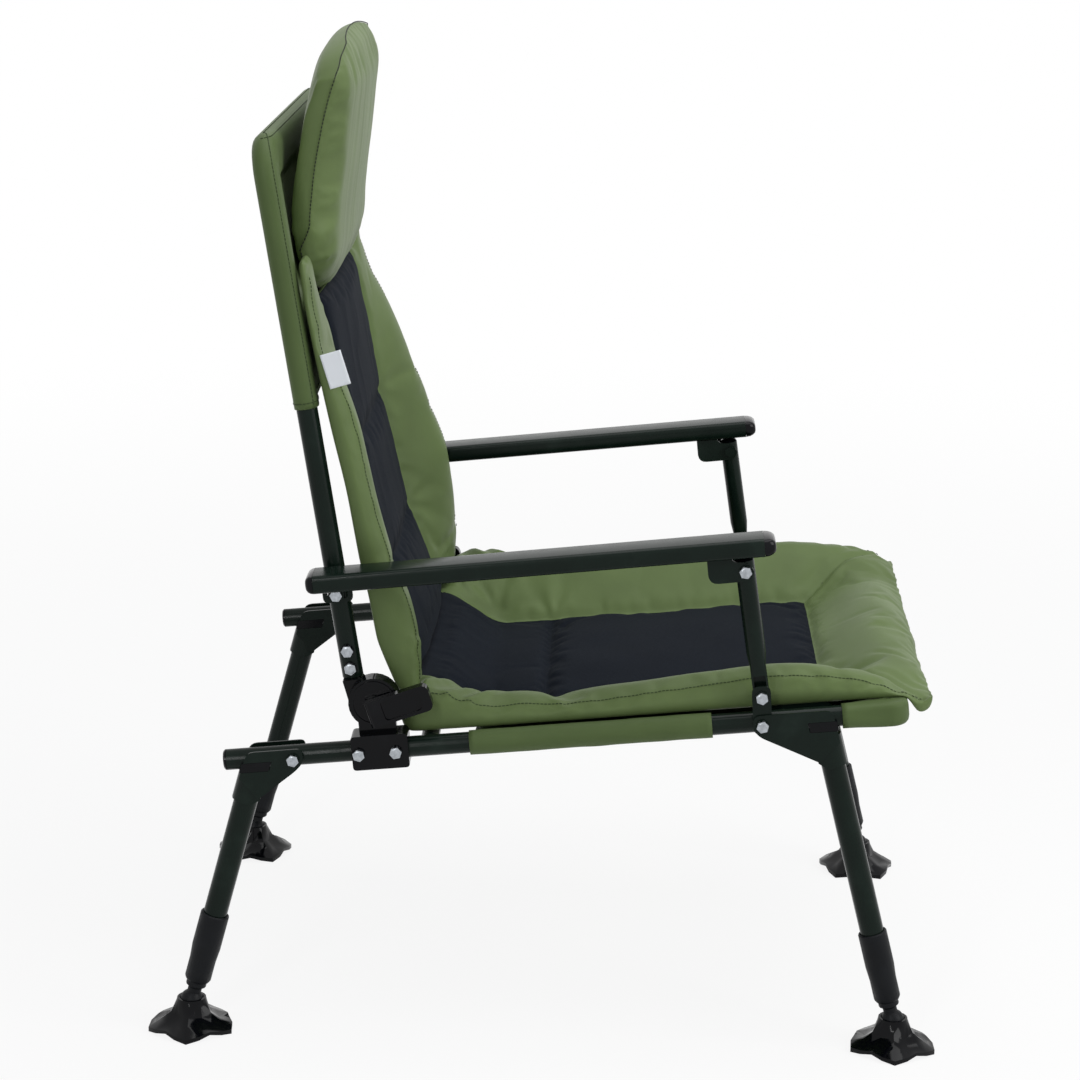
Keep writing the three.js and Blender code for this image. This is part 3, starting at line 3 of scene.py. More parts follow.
import bpy
import numpy as np
from mathutils import Matrix, Vector


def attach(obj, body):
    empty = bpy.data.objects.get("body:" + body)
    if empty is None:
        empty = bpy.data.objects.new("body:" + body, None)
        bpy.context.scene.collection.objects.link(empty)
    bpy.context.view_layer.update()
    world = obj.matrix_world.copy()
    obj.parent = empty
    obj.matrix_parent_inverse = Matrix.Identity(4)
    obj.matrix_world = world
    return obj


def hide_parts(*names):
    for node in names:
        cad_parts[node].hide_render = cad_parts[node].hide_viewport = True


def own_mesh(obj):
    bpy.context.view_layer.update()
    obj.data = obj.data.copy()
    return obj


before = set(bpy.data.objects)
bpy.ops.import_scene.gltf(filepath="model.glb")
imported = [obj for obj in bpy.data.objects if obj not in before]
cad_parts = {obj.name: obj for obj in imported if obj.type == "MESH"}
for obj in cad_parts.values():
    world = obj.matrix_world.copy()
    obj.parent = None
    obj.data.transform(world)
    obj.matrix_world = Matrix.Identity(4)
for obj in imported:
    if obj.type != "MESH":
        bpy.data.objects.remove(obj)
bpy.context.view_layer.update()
print("stage: frame loaded")

mm = 0.001
sides = (-1, 1)

# Camera, solved from the photograph: 100 mm lens on a 36 mm sensor, square picture
camera = {
    "lens": 100.0,
    "sensor": 36.0,
    "yawDeg": 1.57,
    "pitchDeg": 14.5,
    "rollDeg": 1.04,
    "distance": 3.327,
    "aim": (0.0, 0.0175, 0.4759),
    "farthest": 50,
}


def addObject(name, data):
    obj = bpy.data.objects.new(name, data)
    bpy.context.scene.collection.objects.link(obj)
    return obj


def addCamera():
    yaw, pitch, roll = (math.radians(camera[key]) for key in ("yawDeg", "pitchDeg", "rollDeg"))
    forward = Vector((math.cos(yaw) * math.cos(pitch), math.sin(yaw) * math.cos(pitch), -math.sin(pitch)))
    level = Vector((math.sin(yaw), -math.cos(yaw), 0))
    above = level.cross(forward)
    right = level * math.cos(roll) + above * math.sin(roll)
    up = above * math.cos(roll) - level * math.sin(roll)
    data = bpy.data.cameras.new("camera")
    data.lens = camera["lens"]
    data.sensor_width = camera["sensor"]
    data.clip_end = camera["farthest"]
    obj = addObject("camera", data)
    turn = Matrix((right, up, -forward)).transposed().to_4x4()
    place = Vector(camera["aim"]) - forward * camera["distance"]
    obj.matrix_world = Matrix.Translation(place) @ turn
    bpy.context.scene.camera = obj


addCamera()

# Small helpers for meshes


def addMesh(name, places, faces, materials=(), slots=None, edges=()):
    data = bpy.data.meshes.new(name)
    data.from_pydata([tuple(place) for place in places], edges, faces)
    for material in materials:
        data.materials.append(material)
    if slots is not None:
        data.polygons.foreach_set("material_index", slots)
    data.polygons.foreach_set("use_smooth", [True] * len(data.polygons))
    data.update()
    return addObject(name, data)


def settled(obj):
    # Replaces an object's mesh by what its modifiers make of it.
    graph = bpy.context.evaluated_depsgraph_get()
    made = bpy.data.meshes.new_from_object(obj.evaluated_get(graph), depsgraph=graph)
    obj.modifiers.clear()
    old = obj.data
    obj.data = made
    bpy.data.meshes.remove(old)
    return obj


def thickened(obj, thickness, offset=-1):
    # Gives a sheet the thickness of its cloth, and says the area that it had.
    area = sum(face.area for face in obj.data.polygons)
    wall = obj.modifiers.new("cloth", "SOLIDIFY")
    wall.thickness = thickness * mm
    wall.offset = offset
    return settled(obj), area


def joined(name, objs):
    with bpy.context.temp_override(active_object=objs[0], selected_editable_objects=objs):
        bpy.ops.object.join()
    objs[0].name = name
    return objs[0]


def coordinates(obj):
    flat = np.zeros(len(obj.data.vertices) * 3)
    obj.data.vertices.foreach_get("co", flat)
    return flat.reshape(-1, 3)


# The corners of a grid's cell in turn, starting across the grid or along it
acrossFirst = ((0, 0), (1, 0), (1, 1), (0, 1))
alongFirst = acrossFirst[:1] + acrossFirst[:0:-1]


def gridFaces(index, corners):
    # One face for each cell of a grid of point numbers.
    rows, columns = index.shape
    picked = [index[i : rows - 1 + i, j : columns - 1 + j].ravel() for i, j in corners]
    return np.stack(picked, -1).tolist()


def twoSided(front, rear, edge, corners):
    # A front and a rear grid that share the points of their edge.
    frontIndex = np.arange(edge.size).reshape(edge.shape)
    rearIndex = frontIndex.copy()
    rearIndex[~edge] = edge.size + np.arange((~edge).sum())
    places = np.concatenate([front.reshape(-1, 3), rear[~edge]])
    faces = gridFaces(frontIndex, corners) + gridFaces(rearIndex, corners[::-1])
    return places, faces, frontIndex, rearIndex


def eased(share):
    share = np.clip(share, 0, 1)
    return share * share * (3 - 2 * share)


def profileAt(table, place):
    # A smooth curve through the named places, level where it turns and beyond its ends
    starts, values = np.array(table, float).T
    rise = np.diff(values) / np.diff(starts)
    before, after = rise[:-1], rise[1:]
    total = np.where(before + after == 0, 1, before + after)
    inner = np.where(before * after > 0, 2 * before * after / total, 0)
    slopes = np.concatenate([rise[:1], inner, rise[-1:]])
    place = np.clip(np.asarray(place, float), starts[0], starts[-1])
    i = np.clip(np.searchsorted(starts, place), 1, len(starts) - 1)
    width = starts[i] - starts[i - 1]
    share = (place - starts[i - 1]) / width
    bend = (slopes[i - 1] * (1 - share) - slopes[i] * share) * share * (1 - share) * width
    return values[i - 1] + (values[i] - values[i - 1]) * eased(share) + bend


noiseGrid = {"cells": 64, "start": 1000}


def cloud(a, b, seed):
    # Smooth noise from -1 to 1 over a plane, with one swell per unit.
    cells = noiseGrid["cells"]
    grid = np.random.default_rng(seed).uniform(-1, 1, (cells, cells))
    a, b = np.asarray(a, float) + noiseGrid["start"], np.asarray(b, float) + noiseGrid["start"]
    i, j = np.floor(a).astype(int), np.floor(b).astype(int)
    s, t = eased(a - i), eased(b - j)
    at = lambda di, dj: grid[(i + di) % cells, (j + dj) % cells]
    low = at(0, 0) * (1 - s) + at(1, 0) * s
    high = at(0, 1) * (1 - s) + at(1, 1) * s
    return low * (1 - t) + high * t


def crumpled(a, b, seed):
    # Sharp folds with soft valleys between them, from -1 to 1.
    return 1 - 2 * np.sqrt(np.abs(cloud(a, b, seed)) + 0.002)


def swells(kind, along, beside):
    # Soft swells: how high, how far apart, how long, and their seed.
    return kind["depth"] * cloud(along / kind["spacing"], beside / kind["length"], kind["seed"])


def creases(kind, along, beside):
    # Sharp folds: how deep, how far apart, how long, and their seed.
    return kind["depth"] * crumpled(along / kind["spacing"], beside / kind["length"], kind["seed"])


def valley(distance, width):
    return np.exp(-((distance / width) ** 2))


def stations(stops, step, edge=()):
    # Places from the first stop to the last, about a step apart, closer together at both ends.
    places = [np.array([stops[0]])]
    for low, high in zip(stops, stops[1:]):
        count = max(1, round((high - low) / step))
        places.append(np.linspace(low, high, count + 1)[1:])
    middle = np.concatenate(places)
    margin = max(edge, default=0)
    middle = middle[(middle > stops[0] + margin) & (middle < stops[-1] - margin)]
    ends = np.array([0, *edge])
    return np.concatenate([stops[0] + ends, middle, stops[-1] - ends[::-1]])


# The seat and the back each have their own axes: across, forward or up, and out of the pad
seatAxes = {"pivot": (260.998, 308.436), "tiltDeg": 5.92}
backAxes = {"hinge": (178.587, 367.853), "leanDeg": 9.61}


def seatPlace(across, reach, height):
    tilt = math.radians(seatAxes["tiltDeg"])
    y = seatAxes["pivot"][0] - reach * math.cos(tilt) + height * math.sin(tilt)
    z = seatAxes["pivot"][1] + reach * math.sin(tilt) + height * math.cos(tilt)
    return np.stack(np.broadcast_arrays(across, y, z), -1) * mm


def backPlace(across, up, forward):
    lean = math.radians(backAxes["leanDeg"])
    y = backAxes["hinge"][0] + up * math.sin(lean) - forward * math.cos(lean)
    z = backAxes["hinge"][1] + up * math.cos(lean) + forward * math.sin(lean)
    return np.stack(np.broadcast_arrays(across, y, z), -1) * mm


# Nodes: a value given to a node is a number, or the node or socket that feeds it


def feed(tree, socket, value):
    if isinstance(value, bpy.types.Node):
        value = value.outputs[0]
    if isinstance(value, bpy.types.NodeSocket):
        tree.links.new(value, socket)
    else:
        socket.default_value = value


def addNode(tree, kind, **settings):
    # Lower-case settings are the node's own, the others are its inputs.
    node = tree.nodes.new(kind)
    for key, value in settings.items():
        if key[0].islower():
            setattr(node, key, value)
        else:
            feed(tree, node.inputs[key.replace("_", " ")], value)
    return node


def mathNode(tree, operation, *values):
    node = addNode(tree, "ShaderNodeMath", operation=operation)
    for socket, value in zip(node.inputs, values):
        feed(tree, socket, value)
    return node


# Materials. Patterns read Object coordinates, so they stay on the piece in every view.


def newMaterial(name):
    material = bpy.data.materials.new(name)
    material.use_nodes = True
    tree = material.node_tree
    return material, tree, tree.nodes["Principled BSDF"]


def objectPlace(tree):
    return addNode(tree, "ShaderNodeTexCoord").outputs["Object"]


def noise(tree, place, scale, detail):
    return addNode(tree, "ShaderNodeTexNoise", Vector=place, Scale=scale, Detail=detail).outputs["Fac"]


def ramp(tree, factor, positions, colours):
    node = addNode(tree, "ShaderNodeValToRGB", Fac=factor)
    while len(node.color_ramp.elements) < len(positions):
        node.color_ramp.elements.new(0.5)
    for element, position, colour in zip(node.color_ramp.elements, positions, colours):
        element.position = position
        element.color = (*colour, 1)
    return node.outputs["Color"]


def linear(hexColour):
    # From a written colour to the linear light that a shader takes
    channels = [int(hexColour[i : i + 2], 16) / 255 for i in (0, 2, 4)]
    return tuple(c / 12.92 if c <= 0.04045 else ((c + 0.055) / 1.055) ** 2.4 for c in channels)


def shades(hexColour, spread):
    base = linear(hexColour)
    return [tuple(c * (1 - spread) for c in base), tuple(min(1, c * (1 + spread)) for c in base)]


def addBump(tree, shader, height, strength, distance):
    bump = addNode(tree, "ShaderNodeBump", Strength=strength, Distance=distance, Height=height)
    feed(tree, shader.inputs["Normal"], bump)


# Woven polyester: crossing threads, slow shading from handling and, for charcoal, a fleck
cloth = {
    "threadPitch": 0.0009,
    "bandsPerScale": 20,
    "shadesPerMetre": 14.0,
    "shadeStops": (0.3, 0.7),
    "fleckPerThread": 0.6,
    "fleckShare": 0.45,
    "fleckStops": (0.42, 0.62),
    "handlingPerMetre": 60.0,
    "handlingDepth": 2.5,
    "weave": 0.1,
    "bumpDistance": 0.0004,
    "sheenRoughness": 0.4,
}
clothLooks = {
    "greenCloth": dict(hexColour="5c6d42", spread=0.08, roughness=0.46, sheen=0.03, gloss=0.16),
    "sewnGreen": dict(hexColour="4e5e38", spread=0.08, roughness=0.5, sheen=0.03, gloss=0.14),
    "charcoalCloth": dict(hexColour="181c23", spread=0.1, roughness=0.7, sheen=0.02, gloss=0.02, fleck=0.3),
    "whiteTape": dict(hexColour="dfe3e8", spread=0.02, roughness=0.7, sheen=0.02, gloss=0.2),
}


def clothMaterial(name, hexColour, spread, roughness, sheen, gloss, fleck=0.0):
    material, tree, shader = newMaterial(name)
    place = objectPlace(tree)
    slow = noise(tree, place, cloth["shadesPerMetre"], 4.0)
    colour = ramp(tree, slow, cloth["shadeStops"], shades(hexColour, spread))
    if fleck:
        flecks = noise(tree, place, cloth["fleckPerThread"] / cloth["threadPitch"], 1.0)
        mix = addNode(tree, "ShaderNodeMix", data_type="RGBA", blend_type="MIX")
        factor, first, second = (mix.inputs[i] for i in (0, 6, 7))  # its sockets for two colours
        factor.default_value = cloth["fleckShare"]
        feed(tree, first, colour)
        feed(tree, second, ramp(tree, flecks, cloth["fleckStops"], shades(hexColour, fleck)))
        colour = mix.outputs[2]
    feed(tree, shader.inputs["Base Color"], colour)
    scale = 2 * math.pi / (cloth["bandsPerScale"] * cloth["threadPitch"])
    threads = []
    for direction in "XYZ":
        wave = addNode(tree, "ShaderNodeTexWave", bands_direction=direction, Scale=scale, Vector=place)
        threads.append(wave.outputs["Fac"])
    woven = mathNode(tree, "ADD", mathNode(tree, "MULTIPLY", *threads[:2]), threads[2])
    handled = noise(tree, place, cloth["handlingPerMetre"], 5.0)
    relief = mathNode(tree, "ADD", woven, mathNode(tree, "MULTIPLY", handled, cloth["handlingDepth"]))
    addBump(tree, shader, relief, cloth["weave"], cloth["bumpDistance"])
    shader.inputs["Roughness"].default_value = roughness
    shader.inputs["Sheen Weight"].default_value = sheen
    shader.inputs["Sheen Roughness"].default_value = cloth["sheenRoughness"]
    shader.inputs["Specular IOR Level"].default_value = gloss
    return material


# Moulded or coated finish: fine grain, and a slightly paler bloom where hands rub it
plastic = {
    "spread": 0.12,
    "bloomPerMetre": 22.0,
    "bloomStops": (0.3, 0.55, 0.82),
    "bloomGain": 1.6,
    "bloomLift": 0.004,
    "roughPerMetre": 90.0,
    "roughStops": (0.3, 0.7),
    "roughShares": (0.85, 1.2),
    "grainPerMetre": 900.0,
    "grainDistance": 0.0002,
}
plasticLooks = {
    "threadGreen": dict(hexColour="2b371f", roughness=0.6, grain=0.2, gloss=0.2),
    "threadBlack": dict(hexColour="101114", roughness=0.6, grain=0.2, gloss=0.2),
    "framePaint": dict(hexColour="0f1a15", roughness=0.2, grain=0.05, gloss=0.12),
    "glossBlack": dict(hexColour="040508", roughness=0.12, grain=0.03, gloss=0.14),
    "mattBlack": dict(hexColour="0e1013", roughness=0.45, grain=0.3, gloss=0.14),
}


def plasticMaterial(name, hexColour, roughness, grain, gloss):
    material, tree, shader = newMaterial(name)
    place = objectPlace(tree)
    low, high = shades(hexColour, plastic["spread"])
    worn = tuple(min(1, c * plastic["bloomGain"] + plastic["bloomLift"]) for c in high)
    bloom = noise(tree, place, plastic["bloomPerMetre"], 6.0)
    feed(tree, shader.inputs["Base Color"], ramp(tree, bloom, plastic["bloomStops"], (low, high, worn)))
    handling = noise(tree, place, plastic["roughPerMetre"], 4.0)
    greys = [(roughness * share,) * 3 for share in plastic["roughShares"]]
    feed(tree, shader.inputs["Roughness"], ramp(tree, handling, plastic["roughStops"], greys))
    grains = noise(tree, place, plastic["grainPerMetre"], 2.0)
    addBump(tree, shader, grains, grain, plastic["grainDistance"])
    shader.inputs["Specular IOR Level"].default_value = gloss
    return material


zinc = {
    "hexColour": "a3a8ad",
    "spread": 0.2,
    "shadesPerMetre": 260.0,
    "shadeStops": (0.3, 0.7),
    "roughness": 0.32,
    "grainPerMetre": 1400.0,
    "grain": 0.1,
    "grainDistance": 0.0001,
}


def zincMaterial():
    material, tree, shader = newMaterial("zincPlate")
    place = objectPlace(tree)
    crystals = noise(tree, place, zinc["shadesPerMetre"], 5.0)
    colour = ramp(tree, crystals, zinc["shadeStops"], shades(zinc["hexColour"], zinc["spread"]))
    feed(tree, shader.inputs["Base Color"], colour)
    shader.inputs["Metallic"].default_value = 1.0
    shader.inputs["Roughness"].default_value = zinc["roughness"]
    grains = noise(tree, place, zinc["grainPerMetre"], 2.0)
    addBump(tree, shader, grains, zinc["grain"], zinc["grainDistance"])
    return material


cloths = {name: clothMaterial(name, **look) for name, look in clothLooks.items()}
plastics = {name: plasticMaterial(name, **look) for name, look in plasticLooks.items()}
zincPlate = zincMaterial()
print("stage: materials")

# Geometry Nodes: smooth shading for the frame's parts, bolts, and rows of stitches
shading = {"Edge Angle": math.radians(32)}
weldDistance = 2e-6
bolt = {"Head": 6.5 * mm, "Height": 4.3 * mm, "Washer": 1.0 * mm, "Chamfer": 0.35 * mm}
crown = {"foot": 0.8, "top": 0.62, "sides": 18}
stitch = {"Spacing": 4 * mm, "Length": 2.7 * mm, "Thread": 0.45 * mm}
hexagon = 6


def newTree(name, sizes, finish=True):
    tree = bpy.data.node_groups.new(name, "GeometryNodeTree")
    newSocket = tree.interface.new_socket
    newSocket(name="Geometry", in_out="INPUT", socket_type="NodeSocketGeometry")
    for label, value in sizes.items():
        newSocket(name=label, in_out="INPUT", socket_type="NodeSocketFloat").default_value = value
    if finish:
        newSocket(name="Finish", in_out="INPUT", socket_type="NodeSocketMaterial")
    newSocket(name="Geometry", in_out="OUTPUT", socket_type="NodeSocketGeometry")
    return tree, tree.nodes.new("NodeGroupInput").outputs, tree.nodes.new("NodeGroupOutput").inputs[0]


def setInput(modifier, label, value):
    for item in modifier.node_group.interface.items_tree:
        if item.item_type == "SOCKET" and item.in_out == "INPUT" and item.name == label:
            modifier[item.identifier] = value


def realFinished(tree, copies, given, result):
    # Ends a tree: its copies become one mesh and take the finish.
    real = addNode(tree, "GeometryNodeRealizeInstances", Geometry=copies)
    finish = addNode(tree, "GeometryNodeSetMaterial", Geometry=real, Material=given["Finish"])
    feed(tree, result, finish)
    return tree


def smoothTree():
    # Welds a part's loose triangles and shades it smooth, but for its edges.
    tree, given, result = newTree("smoothShading", shading, finish=False)
    bare = addNode(tree, "GeometryNodeRemoveAttribute", Geometry=given["Geometry"], Name="custom_normal")
    weld = addNode(tree, "GeometryNodeMergeByDistance", Geometry=bare, Distance=weldDistance)
    soft = addNode(tree, "GeometryNodeSetShadeSmooth", Geometry=weld)
    angle = addNode(tree, "GeometryNodeInputMeshEdgeAngle").outputs["Unsigned Angle"]
    sharp = addNode(tree, "FunctionNodeCompare", data_type="FLOAT", operation="GREATER_THAN", A=angle)
    feed(tree, sharp.inputs["B"], given["Edge Angle"])
    hard = addNode(tree, "GeometryNodeSetShadeSmooth", domain="EDGE", Geometry=soft, Shade_Smooth=False)
    feed(tree, hard.inputs["Selection"], sharp)
    feed(tree, result, hard)
    return tree


def boltTree():
    # A hexagon head with a shallow crown. Each point says which way out is, and how it is turned.
    tree, given, result = newTree("hexagonBolts", bolt)
    radius, height, washer = given["Head"], given["Height"], given["Washer"]
    foot = mathNode(tree, "MULTIPLY", radius, crown["foot"])
    top = mathNode(tree, "MULTIPLY", radius, crown["top"])
    head = addNode(tree, "GeometryNodeMeshCylinder", Vertices=hexagon, Radius=radius, Depth=height)
    cone = addNode(tree, "GeometryNodeMeshCone", Vertices=crown["sides"], Depth=given["Chamfer"])
    feed(tree, cone.inputs["Radius Bottom"], foot)
    feed(tree, cone.inputs["Radius Top"], top)
    headLift = mathNode(tree, "MULTIPLY_ADD", height, 0.5, washer)
    coneLift = mathNode(tree, "ADD", height, washer)
    whole = addNode(tree, "GeometryNodeJoinGeometry")
    for shape, lift in ((head, headLift), (cone, coneLift)):
        move = addNode(tree, "ShaderNodeCombineXYZ", Z=lift)
        lifted = addNode(tree, "GeometryNodeTransform", Geometry=shape, Translation=move)
        feed(tree, whole.inputs[0], lifted)
    flat = addNode(tree, "GeometryNodeSetShadeSmooth", Geometry=whole, Shade_Smooth=False)
    outward = addNode(tree, "GeometryNodeInputNamedAttribute", data_type="FLOAT", Name="outward")
    spin = addNode(tree, "GeometryNodeInputNamedAttribute", data_type="FLOAT", Name="spin")
    turn = addNode(tree, "ShaderNodeCombineXYZ", Y=mathNode(tree, "MULTIPLY", outward, math.pi / 2))
    place = addNode(tree, "GeometryNodeInstanceOnPoints", Points=given["Geometry"], Instance=flat)
    feed(tree, place.inputs["Rotation"], turn)
    spinTurn = addNode(tree, "ShaderNodeCombineXYZ", Z=spin)
    spun = addNode(tree, "GeometryNodeRotateInstances", Instances=place, Rotation=spinTurn)
    return realFinished(tree, spun, given, result)


def stitchTree():
    # Short threads laid end to end along a line.
    tree, given, result = newTree("stitches", stitch)
    curve = addNode(tree, "GeometryNodeMeshToCurve", Mesh=given["Geometry"])
    spaced = addNode(tree, "GeometryNodeResampleCurve", mode="LENGTH", Curve=curve, Length=given["Spacing"])
    tangent = addNode(tree, "GeometryNodeInputTangent")
    align = addNode(tree, "FunctionNodeAlignRotationToVector", axis="Z", Vector=tangent)
    thread = addNode(tree, "GeometryNodeMeshCylinder", Vertices=hexagon, Depth=given["Length"])
    feed(tree, thread.inputs["Radius"], given["Thread"])
    place = addNode(tree, "GeometryNodeInstanceOnPoints", Points=spaced, Instance=thread, Rotation=align)
    return realFinished(tree, place, given, result)


shadeTree, hexTree, sewTree = smoothTree(), boltTree(), stitchTree()


def grown(obj, tree, finish, sizes):
    # Lets a tree make its pieces on the object's points or lines.
    modifier = obj.modifiers.new("nodes", "NODES")
    modifier.node_group = tree
    for label, value in {"Finish": finish, **sizes}.items():
        setInput(modifier, label, value)
    return settled(obj)


def sewn(name, lines, finish, **sizes):
    # One mesh of stitches along several lines of points.
    edges, start = [], 0
    for line in lines:
        edges += [(start + i, start + i + 1) for i in range(len(line) - 1)]
        start += len(line)
    return grown(addMesh(name, np.concatenate(lines), [], edges=edges), sewTree, finish, sizes)


# Pads: a grid in front and a grid behind that share their outline, which is the edge seam
padGrid = {"step": 5.5, "edgeSteps": (0.5, 1.6, 3.4, 6.0, 9.5)}
fabric = {"quality": 5, "mass": 0.25, "damping": 4}


def roundedIn(gap, radius):
    # From 0 at a pad's edge to 1 where its rounded side ends.
    return np.sqrt(np.clip(1 - (1 - np.clip(gap / radius, 0, 1)) ** 2, 0, 1))


def roundedEnds(gaps, radii):
    shares = [roundedIn(gap, radius) for gap, radius in zip(gaps, radii)]
    return math.prod(shares)


def buildPad(name, shape, place, materials, slotOf):
    # Builds a pad from the grids of a shape: across, along, and its front and rear heights.
    across, along = shape["across"], shape["along"]
    rows, columns = across.shape
    edge = np.zeros(across.shape, bool)
    edge[[0, -1], :] = edge[:, [0, -1]] = True
    front, rear = place(across, along, shape["front"]), place(across, along, shape["rear"])
    places, faces, frontIndex, rearIndex = twoSided(front, rear, edge, acrossFirst)
    middles = [(grid[:-1, :-1] + grid[1:, 1:]) / 2 for grid in (across, along)]
    slots = slotOf(*middles).astype(int).ravel().tolist()
    obj = addMesh(name, places, faces, materials, slots + [0] * len(slots))
    facing = obj.data.polygons[((rows - 1) // 2) * (columns - 1) + (columns - 1) // 2].normal
    start = along[0, columns // 2]
    outward = Vector(place(0.0, start, 1.0) - place(0.0, start, 0.0))
    if facing.dot(outward) < 0:
        obj.data.flip_normals()
    return obj, {"across": across, "along": along, "front": frontIndex, "edge": edge}


def heldPoints(obj, grid, sewnAt):
    held = np.ones(len(obj.data.vertices), bool)
    loose = ~grid["edge"] & ~sewnAt(grid["across"], grid["along"])
    held[grid["front"][loose]] = False
    return held


def puffed(obj, held, settings):
    # Fills a pad like a balloon, held at its seams, and keeps each point near where it was.
    before = coordinates(obj)
    group = obj.vertex_groups.new(name="held")
    group.add([int(i) for i in np.nonzero(held)[0]], 1.0, "REPLACE")
    modifier = obj.modifiers.new("cloth", "CLOTH")
    filled = modifier.settings
    filled.quality = fabric["quality"]
    filled.mass = fabric["mass"]
    filled.air_damping = fabric["damping"]
    filled.tension_stiffness = filled.compression_stiffness = settings["stiffness"]
    filled.shear_stiffness = settings["stiffness"] / 2
    filled.bending_stiffness = settings["bending"]
    filled.use_pressure = True
    filled.uniform_pressure_force = settings["pressure"]
    filled.vertex_group_mass = "held"
    filled.shrink_min = -settings["slack"]
    filled.effector_weights.gravity = 0
    modifier.collision_settings.use_collision = False
    modifier.point_cache.frame_start, modifier.point_cache.frame_end = 1, settings["frames"]
    for step in range(1, settings["frames"] + 1):
        bpy.context.scene.frame_set(step)
    graph = bpy.context.evaluated_depsgraph_get()
    after = np.array([vertex.co for vertex in obj.evaluated_get(graph).data.vertices])
    obj.modifiers.clear()
    bpy.context.scene.frame_set(1)
    move = after - before
    length = np.linalg.norm(move, axis=1, keepdims=True)
    cap = settings["cap"] * mm
    move *= cap * np.tanh(length / cap) / np.maximum(length, 1e-9)
    obj.data.vertices.foreach_set("co", (before + move).ravel())
    obj.data.update()
    obj.vertex_groups.clear()
    farthest = float(np.linalg.norm(move, axis=1).max() / mm)
    print("stage: filled", obj.name, "moved up to", round(farthest, 1), "mm")


def finer(obj):
    modifier = obj.modifiers.new("finer", "SUBSURF")
    modifier.levels = modifier.render_levels = 1
    return settled(obj)


def borderShare(pad, out):
    # From 0 on the panel to 1 along the ridge of the border.
    lead = pad["borderLead"]
    return eased((out - pad["seam"] + lead) / (pad["ridge"] - pad["seam"] + lead))


def crowned(pad, out):
    return pad["crown"] * np.cos(np.pi * np.minimum(out, pad["seam"]) / (2 * pad["seam"]))


rays = {"perTurn": 6, "turnBetween": 1.7, "centre": 5}


def rayFolds(kind, across, along, spots):
    # Folds that fan out over a border from where a sewn line meets it.
    total = 0.0
    for k, (spotAcross, spotAlong) in enumerate(spots):
        aside, ahead = np.abs(across) - spotAcross, along - spotAlong
        far = np.hypot(aside, ahead)
        angle = rays["perTurn"] * np.arctan2(ahead, aside) + kind["turn"]
        fan = np.cos(angle + rays["turnBetween"] * k)
        total = total + fan * np.exp(-far / kind["spread"]) * far / (far + rays["centre"])
    return kind["depth"] * total


def onSide(across, right, left):
    # The right-hand value on the side below nought, the left-hand one above, eased in between.
    blend = 120
    return right + (left - right) * eased((across + blend) / (2 * blend))


# Sling: a sheet between the rails, with sleeves sewn round them. The seat mattress lies on it.
slingCloth = {
    "sleeve": 12.4,
    "railAcross": 268.0,
    "rearFrom": 183.0,
    "rearTo": 434.0,
    "frontFrom": 568.0,
    "frontReach": 624.7,
    "bend": 7.0,
    "pocket": 19.0,
    "pocketWidth": 34,
    "squareWidth": 30,
    "hang": 1.2,
    "hangWidth": 0.4,
    "loose": 0.35,
    "looseSpacing": 22,
    "sideGap": 12.2,
    "opening": 33,
    "below": 3,
    "drop": 0.2,
    "sag": [(183, 22), (434, 22), (568, 12), (624.7, 0)],
    "cloth": 0.8,
    "swell": dict(depth=0.4, spacing=50, length=50, seed=41),
}


def slingHeight(across, reach):
    reaches, sags = zip(*slingCloth["sag"])
    sag = np.interp(reach, reaches, sags)
    return -slingCloth["below"] - sag * (1 - (across / slingCloth["railAcross"]) ** 2)


# Seat mattress: a charcoal panel sewn across once, in green borders that stand up at the sides.
# Its right-hand border lies lower than its left-hand one, and its front edge hangs over the bar.
seatPad = {
    "halfWidth": 261.0,
    "seam": 165.0,
    "ridge": 236.0,
    "borderLead": 8,
    "rear": 113.0,
    "channel": 257.0,
    "frontSeam": 552.0,
    "front": 662.0,
    "mitreEnd": (252.0, 652.0),
    "mitreWidth": 3.2,
    "mitreDepth": 1.3,
    "mitreHeld": 3,
    "heldTo": 150,
    "seamWidth": 4.5,
    "seamDepth": 6.0,
    "sewnFrom": (128, 30),
    "panel": 4.0,
    "crown": 7.0,
    "crownFrom": (125, 60),
    "cornerRound": 20.0,
    "cornerDrawn": (9, 15),
    "seamShare": 0.42,
    "frontHang": 18,
    "over": (14, 8, 22),
    "under": (5, 8, 9),
    "fill": dict(stiffness=12.0, bending=0.25, pressure=3.0, slack=0.03, cap=4.0, frames=20),
}
seatRidgeRight = [
    (113, 44), (128, 45), (141, 62), (179, 44), (233, 37), (293, 33),
    (373, 39), (440, 43), (500, 47), (572, 38), (640, 15), (662, 4),
]
seatRidgeLeft = [
    (113, 44), (128, 45), (150, 74), (250, 67), (377, 62), (493, 58), (590, 47), (645, 33), (662, 18),
]
seatRise = [(113, 41), (133, 41), (205, 0), (552, 0), (632, 22), (662, 12)]
seatFrontEdge = [(-261, 9), (-130, 1), (60, 3), (261, 22)]
